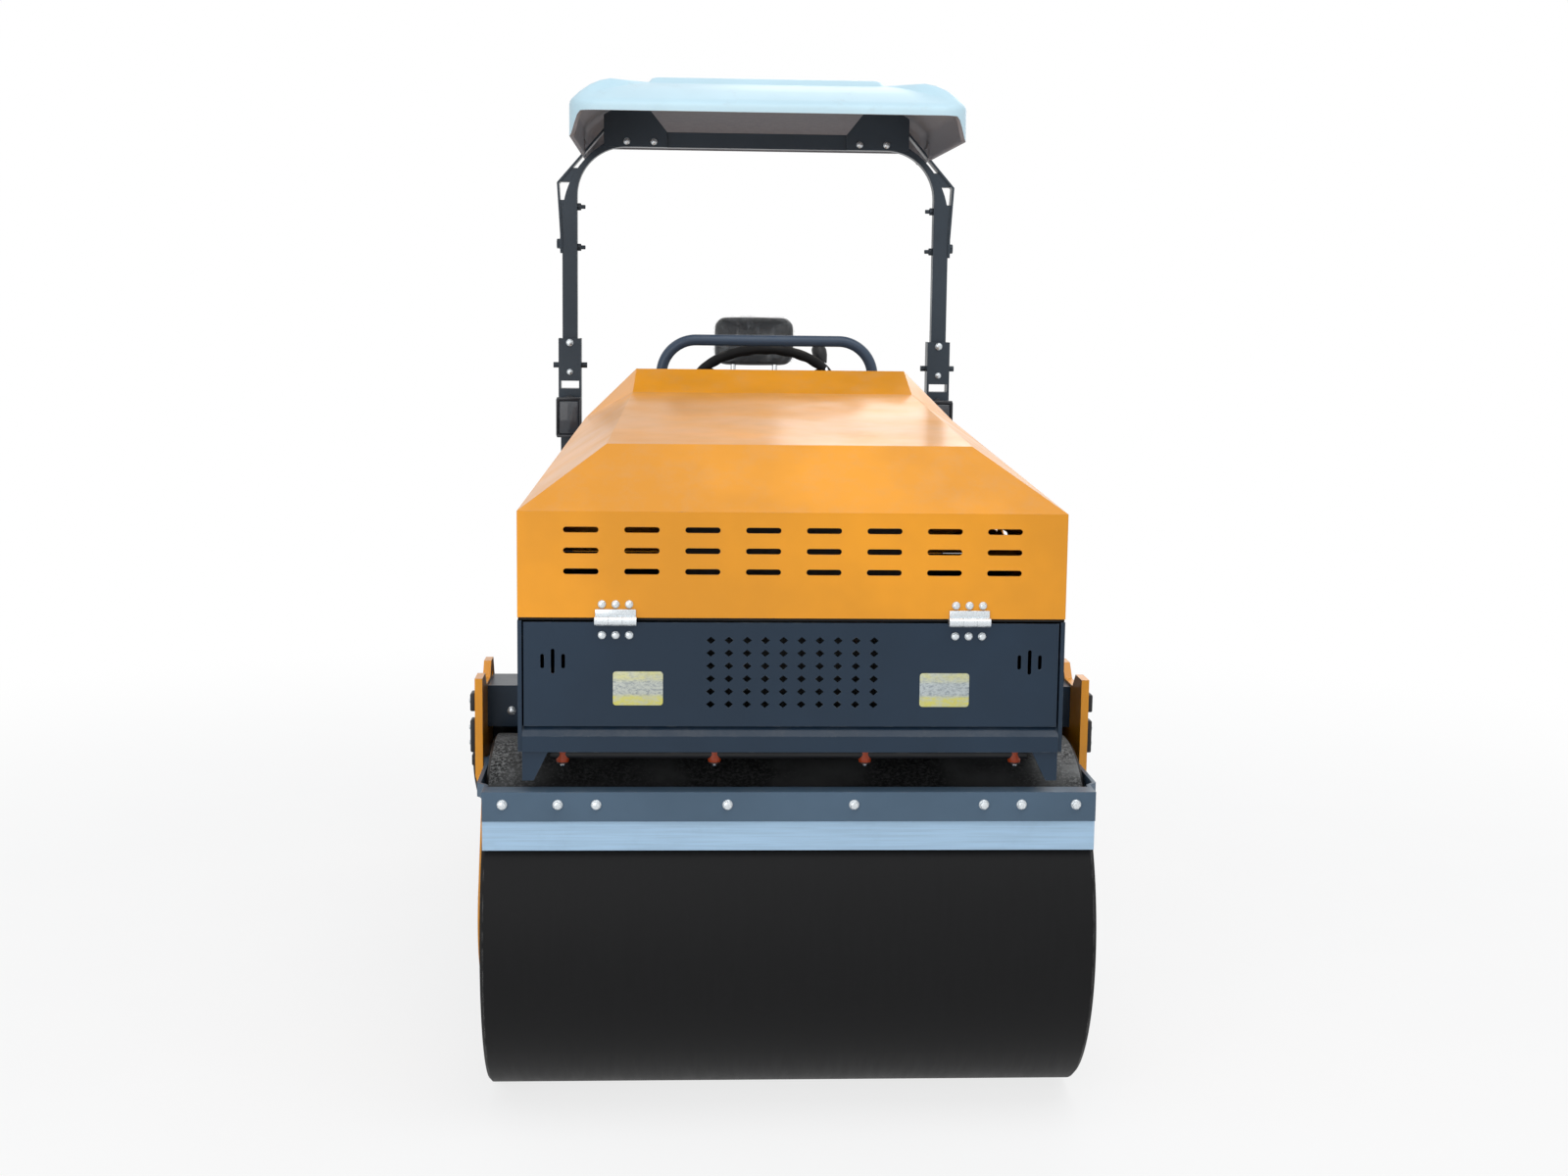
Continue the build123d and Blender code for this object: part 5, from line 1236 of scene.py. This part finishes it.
class ROLLER_OT_controls(bpy.types.Operator):
    """Dials, switches and the drive lever on the console"""
    bl_idname = "roller.controls"
    bl_label = "Console controls"

    DIALS = ((-0.150, 0.034), (0.105, 0.030))  # x and radius
    TICK = (0.0007, 0.003, 0.0003)  # half sizes
    SWEEP = 260  # degrees that the marks go round
    NEEDLE = -1.2  # turn of the needles
    SWITCH_X, SWITCH_PITCH = -0.175, 0.034
    KEY_X = 0.150
    # how far down the sloping top each row lies
    DIAL_ROW, KEY_ROW, SWITCH_ROW = 0.060, 0.112, 0.118

    def execute(self, context):
        low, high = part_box("console")
        front_edge, back_edge = Vector((0, low.y + 0.050, high.z)), Vector((0, high.y, high.z - 0.110))
        along = (back_edge - front_edge).normalized()
        out = Vector((0, -along.z, along.y))
        if out.z < 0:
            out = -out
        bezels, faces, marks, glasses = bmesh.new(), bmesh.new(), bmesh.new(), bmesh.new()
        for x, r in self.DIALS:
            spot = front_edge + along * self.DIAL_ROW + Vector((x, 0, 0))
            add_turned(bezels, [(r, 0), (r + 0.004, 0.001), (r + 0.004, 0.008), (r + 0.001, 0.011), (r - 0.002, 0.010),
                                (r - 0.002, 0.006)], spot, out, 36)
            add_turned(faces, [(r - 0.002, 0.0), (r - 0.002, 0.005), (0, 0.005)], spot, out, 36)
            side = along.cross(out)
            for i in range(9):
                a = math.radians(self.SWEEP * (i / 8 - 0.5))
                ray = side * math.sin(a) - along * math.cos(a)
                tick = spot + ray * (r - 0.008) + out * 0.0056
                turn = Matrix((ray.cross(out), ray, out)).transposed()
                add_block(marks, tick, self.TICK, turn=turn)
            ray = side * math.sin(self.NEEDLE) - along * math.cos(self.NEEDLE)
            needle = spot + ray * (r * 0.36) + out * 0.0068
            turn = Matrix((ray.cross(out), ray, out)).transposed()
            add_block(marks, needle, (0.0009, r * 0.40, 0.0004), turn=turn)
        for i in range(4):
            spot = front_edge + along * self.SWITCH_ROW + Vector((self.SWITCH_X + self.SWITCH_PITCH * i, 0, 0))
            turn = Matrix((Vector((1, 0, 0)), along, out)).transposed()
            add_box(bezels, spot - Vector((0.013, 0.018, 0.001)), spot + Vector((0.013, 0.018, 0.005)), 0.002, 2, turn)
            add_box(bezels, spot + out * 0.004 - Vector((0.009, 0.014, 0.002)),
                    spot + out * 0.004 + Vector((0.009, 0.014, 0.005)), 0.002, 2,
                    turn @ Matrix.Rotation(math.radians(6), 3, "X"))
        spot = front_edge + along * self.KEY_ROW + Vector((self.KEY_X, 0, 0))
        add_turned(glasses, [(0.013, 0), (0.013, 0.004), (0.009, 0.006), (0.009, 0.012), (0.0, 0.012)], spot, out, 24)
        add_piece("console_bezels", bezels, "black", "rear_frame", 30)
        add_piece("console_dials", faces, "dial", "rear_frame", 30)
        add_piece("console_marks", marks, "mark", "rear_frame", 30)
        add_piece("key_switch", glasses, "chrome", "rear_frame", 30)
        root = Vector((0.200, high.y - 0.055, high.z - 0.075))
        tip = Vector((0.142, high.y + 0.028, high.z + 0.088))
        axis = (tip - root).normalized()
        boot, rod, knob = bmesh.new(), bmesh.new(), bmesh.new()
        ridges = [(0.028, -0.006)]
        for i in range(5):
            ridges += [(0.026 - 0.004 * i, 0.004 + 0.008 * i), (0.022 - 0.004 * i, 0.008 + 0.008 * i)]
        add_turned(boot, ridges + [(0.0, 0.044)], root, UP.lerp(axis, 0.6).normalized(), 28)
        add_turned(rod, [(0.006, 0.02), (0.006, (tip - root).length - 0.02)], root, axis, 16)
        ball = [(0.009, -0.030), (0.012, -0.022), (0.0165, -0.010), (0.019, 0.003), (0.0175, 0.015), (0.012, 0.023),
                (0.005, 0.0265), (0, 0.027)]
        add_turned(knob, ball, tip, axis, 28)
        add_piece("lever_boot", boot, "rubber", "rear_frame", 50)
        add_piece("lever_rod", rod, "chrome", "rear_frame", 40)
        add_piece("lever_knob", knob, "black", "rear_frame", 60)
        return {"FINISHED"}


class ROLLER_OT_hoses(bpy.types.Operator):
    """Drive hoses clamped to the outside of the carriers, at both ends"""
    bl_idname = "roller.hoses"
    bl_label = "Drive hoses"

    RADIUS = 0.0058
    OFF_PLATE = 0.0008
    # how proud of the carrier it stands, then y and z of two corners
    CLAMPS = ((0.0130, (-0.838, 0.650), (-0.784, 0.674)), (0.0130, (-0.690, 0.677), (-0.664, 0.723)),
              (0.0105, (-0.892, 0.776), (-0.850, 0.813)), (0.0105, (-0.892, 0.690), (-0.858, 0.758)))
    # out from the carrier, y and z
    CLAMP_BOLTS = ((0.0095, -0.811, 0.662), (0.0095, -0.677, 0.700), (0.0085, -0.871, 0.795),
                   (0.0085, -0.875, 0.708), (0.0085, -0.875, 0.740))

    def execute(self, context):
        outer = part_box("front_carriers")[1].x
        radius = self.RADIUS
        out = outer + radius + self.OFF_PLATE
        routes = (
            [(0.598, -0.826, 0.570), (0.628, -0.826, 0.572), (out - 0.004, -0.825, 0.612), (out, -0.822, 0.655),
             (out, -0.820, 0.690), (out, -0.808, 0.709), (out, -0.740, 0.710), (out, -0.620, 0.710),
             (out, -0.590, 0.710), (out - 0.006, -0.570, 0.710), (0.600, -0.562, 0.711), (0.540, -0.550, 0.714),
             (0.440, -0.520, 0.716), (0.380, -0.500, 0.716), (0.370, -0.481, 0.716)],
            [(0.598, -0.802, 0.570), (0.628, -0.802, 0.572), (out - 0.004, -0.801, 0.612), (out, -0.800, 0.650),
             (out, -0.798, 0.676), (out, -0.786, 0.688), (out, -0.730, 0.689), (out, -0.620, 0.689),
             (out, -0.592, 0.689), (out - 0.006, -0.574, 0.689), (0.600, -0.566, 0.690), (0.540, -0.556, 0.692),
             (0.440, -0.528, 0.694), (0.352, -0.502, 0.694), (0.340, -0.481, 0.694)],
        )
        for turn, body in ((1, "front_frame"), (-1, "rear_frame")):
            runs, clamps, ends, rows = bmesh.new(), bmesh.new(), bmesh.new(), []
            for side in (-1, 1):
                def at(x, y, z):
                    return Vector((side * x, turn * y, z))

                for route in routes:
                    path = [at(*point) for point in route]
                    add_tube(runs, path, radius, 4)
                    entry = Vector(path[0]).lerp(path[1], 0.93)
                    add_turned(ends, [(0.0125, -0.004), (0.0125, 0.002), (0.0100, 0.0045), (0.0075, 0.0045)], entry,
                               (side, 0, 0), 20)
                    ferrule = [(0.0085, 0.0), (0.0098, 0.002), (0.0098, 0.014), (0.0078, 0.017),
                               (0.0078, 0.030), (0.0070, 0.031)]
                    add_turned(ends, ferrule, path[-1], path[-2] - path[-1], 12)
                for proud, low, high in self.CLAMPS:
                    one, two = at(outer - 0.001, *low), at(outer + proud, *high)
                    add_box(clamps, [min(a, b) for a, b in zip(one, two)], [max(a, b) for a, b in zip(one, two)],
                            0.003)
                for x, y, z in self.CLAMP_BOLTS:
                    rows.append((at(outer + x, y, z), (side, 0, 0), 0.013))
            add_piece(body + "_hoses", runs, "hose", body, 60)
            add_piece(body + "_hose_clamps", clamps, "black", body, 30)
            add_piece(body + "_hose_ends", ends, "zinc", body, 40)
            bolts(body + "_clamp_bolts", body, rows)
        return {"FINISHED"}


class ROLLER_OT_tread(bpy.types.Operator):
    """Raised lozenges on the driver's floor and the steps"""
    bl_idname = "roller.tread"
    bl_label = "Tread plate"

    def execute(self, context):
        tree, source, real = new_tree("Tread plate", [
            ("Lozenge Length", "NodeSocketFloat", 0.024), ("Lozenge Width", "NodeSocketFloat", 0.0085),
            ("Lozenge Height", "NodeSocketFloat", 0.0026)], FINISH["blue"])
        ball = gn(tree, "GeometryNodeMeshUVSphere", {"Segments": 10, "Rings": 5, "Radius": 0.5})
        size = gn(tree, "ShaderNodeCombineXYZ", {"X": source.outputs["Lozenge Length"],
                                                 "Y": source.outputs["Lozenge Width"],
                                                 "Z": source.outputs["Lozenge Height"]})
        turn = gn(tree, "ShaderNodeCombineXYZ", {"Z": attribute(tree, "turn", "FLOAT")})
        spread = gn(tree, "GeometryNodeInstanceOnPoints", {
            "Points": source.outputs["Geometry"], "Instance": ball.outputs[0], "Rotation": turn.outputs[0],
            "Scale": size.outputs[0]})
        tree.links.new(spread.outputs[0], real.inputs[0])
        spots = []
        low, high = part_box("driver_floor")
        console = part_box("console")[1]
        deck = low.z + 0.006
        step_low, step_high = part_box("foot_steps")
        areas = [((low.x, console.y + 0.005), (high.x, high.y - 0.012), deck)]
        for side in (-1, 1):
            edges = sorted((side * (high.x - 0.004), side * (step_high.x - 0.010)))
            areas.append(((edges[0], step_low.y), (edges[1], step_high.y), step_low.z + 0.008))
            flank = sorted((side * (console.x + 0.005), side * high.x))
            areas.append(((flank[0], low.y), (flank[1], console.y), deck))
        pitch = 0.021
        margin = 0.012
        turns = []
        for start, end, z in areas:
            columns = int((end[0] - start[0] - margin) / pitch)
            rows = int((end[1] - start[1] - margin) / pitch)
            for i in range(columns + 1):
                for j in range(rows + 1):
                    x = (start[0] + end[0]) / 2 + (i - columns / 2) * pitch
                    y = (start[1] + end[1]) / 2 + (j - rows / 2) * pitch
                    spots.append((x, y, z))
                    turns.append(math.radians(45 if (i + j) % 2 else -45))
        grown("tread_lozenges", point_cloud("tread", spots, turn=turns), tree, FINISH["blue"], "rear_frame",
              "blue_paint", 60)
        return {"FINISHED"}


class ROLLER_OT_trim(bpy.types.Operator):
    """Hood seal and latches, tank cap and other small trim"""
    bl_idname = "roller.trim"
    bl_label = "Trim"

    HALF = 0.527  # half the width over the tub's walls
    LATCH_Y = -0.235
    # how far out it starts and ends, half width, below and above the hood's edge, edge radius
    LATCH = ((0, 0.010, 0.016, -0.060, -0.020, 0.003),
             (0.004, 0.012, 0.009, -0.040, 0.036, 0.003),
             (0, 0.016, 0.018, 0.028, 0.042, 0.004))
    CAP_PLACE = (-0.330, 0.700)

    def execute(self, context):
        hood_low, hood_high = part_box("hood_shell")
        seal = bmesh.new()
        z = (hood_low.z - 0.0055, hood_low.z - 0.001)
        half = self.HALF
        back = hood_high.y
        add_box(seal, (-half + 0.001, hood_low.y + 0.0045, z[0]), (half - 0.001, hood_low.y + 0.010, z[1]))
        for side in (-1, 1):
            edges = sorted((side * (half - 0.001), side * (half - 0.007)))
            add_box(seal, (edges[0], hood_low.y + 0.004, z[0]), (edges[1], back - 0.002, z[1]))
        add_box(seal, (-half + 0.001, back - 0.008, z[0]), (half - 0.001, back - 0.001, z[1]))
        add_piece("hood_seal", seal, "rubber", "front_frame", 30)
        hooks = bmesh.new()
        for side in (-1, 1):
            x = side * (half + 0.0005)
            for near, far, wide, below, above, soft in self.LATCH:
                ends = sorted((x + side * near, x + side * far))
                add_box(hooks, (ends[0], self.LATCH_Y - wide, hood_low.z + below),
                        (ends[1], self.LATCH_Y + wide, hood_low.z + above), soft)
        add_piece("hood_latches", hooks, "rubber", "front_frame", 35)
        tank_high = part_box("water_tank")[1]
        cap = bmesh.new()
        spot = Vector((*self.CAP_PLACE, tank_high.z))
        profile = [(0.046, -0.001), (0.050, 0.004), (0.050, 0.010), (0.044, 0.012), (0.044, 0.028), (0.040, 0.033),
                   (0.0, 0.034)]
        add_turned(cap, profile, spot, UP, 40)
        for i in range(12):
            a = 2 * math.pi * i / 12
            rib = spot + Vector((0.044 * math.cos(a), 0.044 * math.sin(a), 0.020))
            add_block(cap, rib, (0.003, 0.003, 0.009), 0.001, 1, Matrix.Rotation(a, 3, "Z"))
        add_piece("tank_cap", cap, "black", "rear_frame", 35)
        return {"FINISHED"}


class ROLLER_OT_stage(bpy.types.Operator):
    """Camera, lamps, sky and floor"""
    bl_idname = "roller.stage"
    bl_label = "Stage"

    LENS = 48.375
    PLACE = (-0.231, -5.181, 1.628)
    TURN = (3.05, 7.85, 0.69)  # yaw, pitch and roll in degrees

    def execute(self, context):
        look = settings("stage")
        scene = context.scene
        camera = placed("camera", bpy.data.cameras.new("camera"))
        camera.data.sensor_width = 36
        camera.data.lens = self.LENS
        camera.data.clip_end = 200
        yaw, pitch, roll = (math.radians(a) for a in self.TURN)
        level = Vector((math.sin(yaw), math.cos(yaw), 0))
        right = Vector((math.cos(yaw), -math.sin(yaw), 0))
        ahead = level * math.cos(pitch) - UP * math.sin(pitch)
        above = UP * math.cos(pitch) + level * math.sin(pitch)
        right, above = right * math.cos(roll) + above * math.sin(roll), above * math.cos(roll) - right * math.sin(roll)
        pose = Matrix((right, above, -ahead)).transposed().to_4x4()
        pose.translation = Vector(self.PLACE)
        camera.matrix_world = pose
        scene.camera = camera

        self.sky(scene, look.sky)
        for name, place, size, power in (("key", (0.9, -2.4, 5.2), 3.8, look.key),
                                         ("fill", (-2.6, -5.2, 2.2), 3.4, look.key * 0.66),
                                         ("rim", (1.5, 4.2, 3.8), 3.0, look.key * 0.5)):
            lamp = bpy.data.lights.new(name, "AREA")
            lamp.energy = power
            lamp.size = size
            holder = placed(name, lamp)
            aim = Vector((0, 0, 0.9)) - Vector(place)
            holder.matrix_world = Matrix.Translation(place) @ aim.to_track_quat("-Z", "Y").to_matrix().to_4x4()
        work = bmesh.new()
        bmesh.ops.create_grid(work, x_segments=1, y_segments=1, size=60)
        mesh = bpy.data.meshes.new("floor")
        work.to_mesh(mesh)
        work.free()
        floor = placed("floor", mesh)
        mesh.materials.append(self.floor_paint(look.floor))
        scene.view_settings.view_transform = "Standard"
        return {"FINISHED"}

    def looked_at(self, tree, path):
        """1 where the camera, a reflection or a view through glass meets this surface."""
        seen = path.outputs["Is Camera Ray"]
        for other in ("Is Glossy Ray", "Is Transmission Ray"):
            seen = put(tree, "Math", {0: seen, 1: path.outputs[other]}, operation="MAXIMUM").outputs[0]
        return seen

    def sky(self, scene, strength):
        """Even light, with a plain white background where the camera, gloss and glass see it."""
        world = bpy.data.worlds.new("sky")
        scene.world = world
        world.use_nodes = True
        tree = world.node_tree
        tree.nodes.clear()
        path = put(tree, "LightPath")
        seen = self.looked_at(tree, path)
        even = put(tree, "Background", {"Color": (0.94, 0.97, 1.0, 1), "Strength": strength})
        shown = put(tree, "Background", {"Color": (1, 1, 1, 1), "Strength": 1.0})
        mix = put(tree, "MixShader", {0: seen, 1: even.outputs[0], 2: shown.outputs[0]})
        out = put(tree, "OutputWorld")
        tree.links.new(mix.outputs[0], out.inputs[0])

    def floor_paint(self, colour):
        finish = Finish("Pale floor")
        speck = finish.noise(2.0, 3)
        base = finish.blend(finish.spread(speck, 0.3, 0.7), scaled(colour, 0.97), tuple(colour))
        finish.set(Base_Color=base, Roughness=0.9, Specular_IOR_Level=0.1)
        tree = finish.tree
        path = put(tree, "LightPath")
        glow = put(tree, "Emission", {"Color": (1, 1, 1, 1), "Strength": 1.0})
        reach = put(tree, "VectorMath", {0: finish.place.outputs["Object"]}, operation="LENGTH").outputs["Value"]
        share = put(tree, "Math", {0: self.looked_at(tree, path), 1: finish.spread(reach, 1.6, 5.0, 0.78, 1.0)},
                    operation="MULTIPLY").outputs[0]
        mix = put(tree, "MixShader", {0: share, 1: finish.shader.outputs[0], 2: glow.outputs[0]})
        out = next(n for n in tree.nodes if n.bl_idname == "ShaderNodeOutputMaterial")
        tree.links.new(mix.outputs[0], out.inputs[0])
        return finish.material


class ROLLER_PT_panel(bpy.types.Panel):
    """Shows the roller's settings and a button for each step"""
    bl_label = "Tandem roller"
    bl_idname = "ROLLER_PT_panel"
    bl_space_type = "VIEW_3D"
    bl_region_type = "UI"
    bl_category = "Roller"

    def draw(self, context):
        for group in GROUPS:
            box = self.layout.box()
            box.label(text=group)
            data = settings(group)
            for key in type(data).__annotations__:
                box.prop(data, key)
        for operator in OPERATORS:
            self.layout.operator(operator.bl_idname)


GROUPS = {"paint": PaintSettings, "fasteners": FastenerSettings, "seat": SeatSettings, "roof": RoofSettings,
          "stage": StageSettings}
OPERATORS = (
    ROLLER_OT_finishes, ROLLER_OT_fasteners, ROLLER_OT_hinges, ROLLER_OT_plates, ROLLER_OT_nozzles,
    ROLLER_OT_roof, ROLLER_OT_lamps, ROLLER_OT_seat, ROLLER_OT_wheel, ROLLER_OT_controls, ROLLER_OT_hoses,
    ROLLER_OT_tread, ROLLER_OT_trim, ROLLER_OT_stage,
)
CLASSES = (*GROUPS.values(), *OPERATORS, ROLLER_PT_panel)


def register():
    for kind in CLASSES:
        bpy.utils.register_class(kind)
    for name, kind in GROUPS.items():
        setattr(bpy.types.Scene, "roller_" + name, PointerProperty(type=kind))


def unregister():
    for name in GROUPS:
        delattr(bpy.types.Scene, "roller_" + name)
    for kind in reversed(CLASSES):
        bpy.utils.unregister_class(kind)


def main():
    register()
    for operator in OPERATORS:
        group, name = operator.bl_idname.split(".")
        getattr(getattr(bpy.ops, group), name)()


if __name__ == "__main__":
    main()
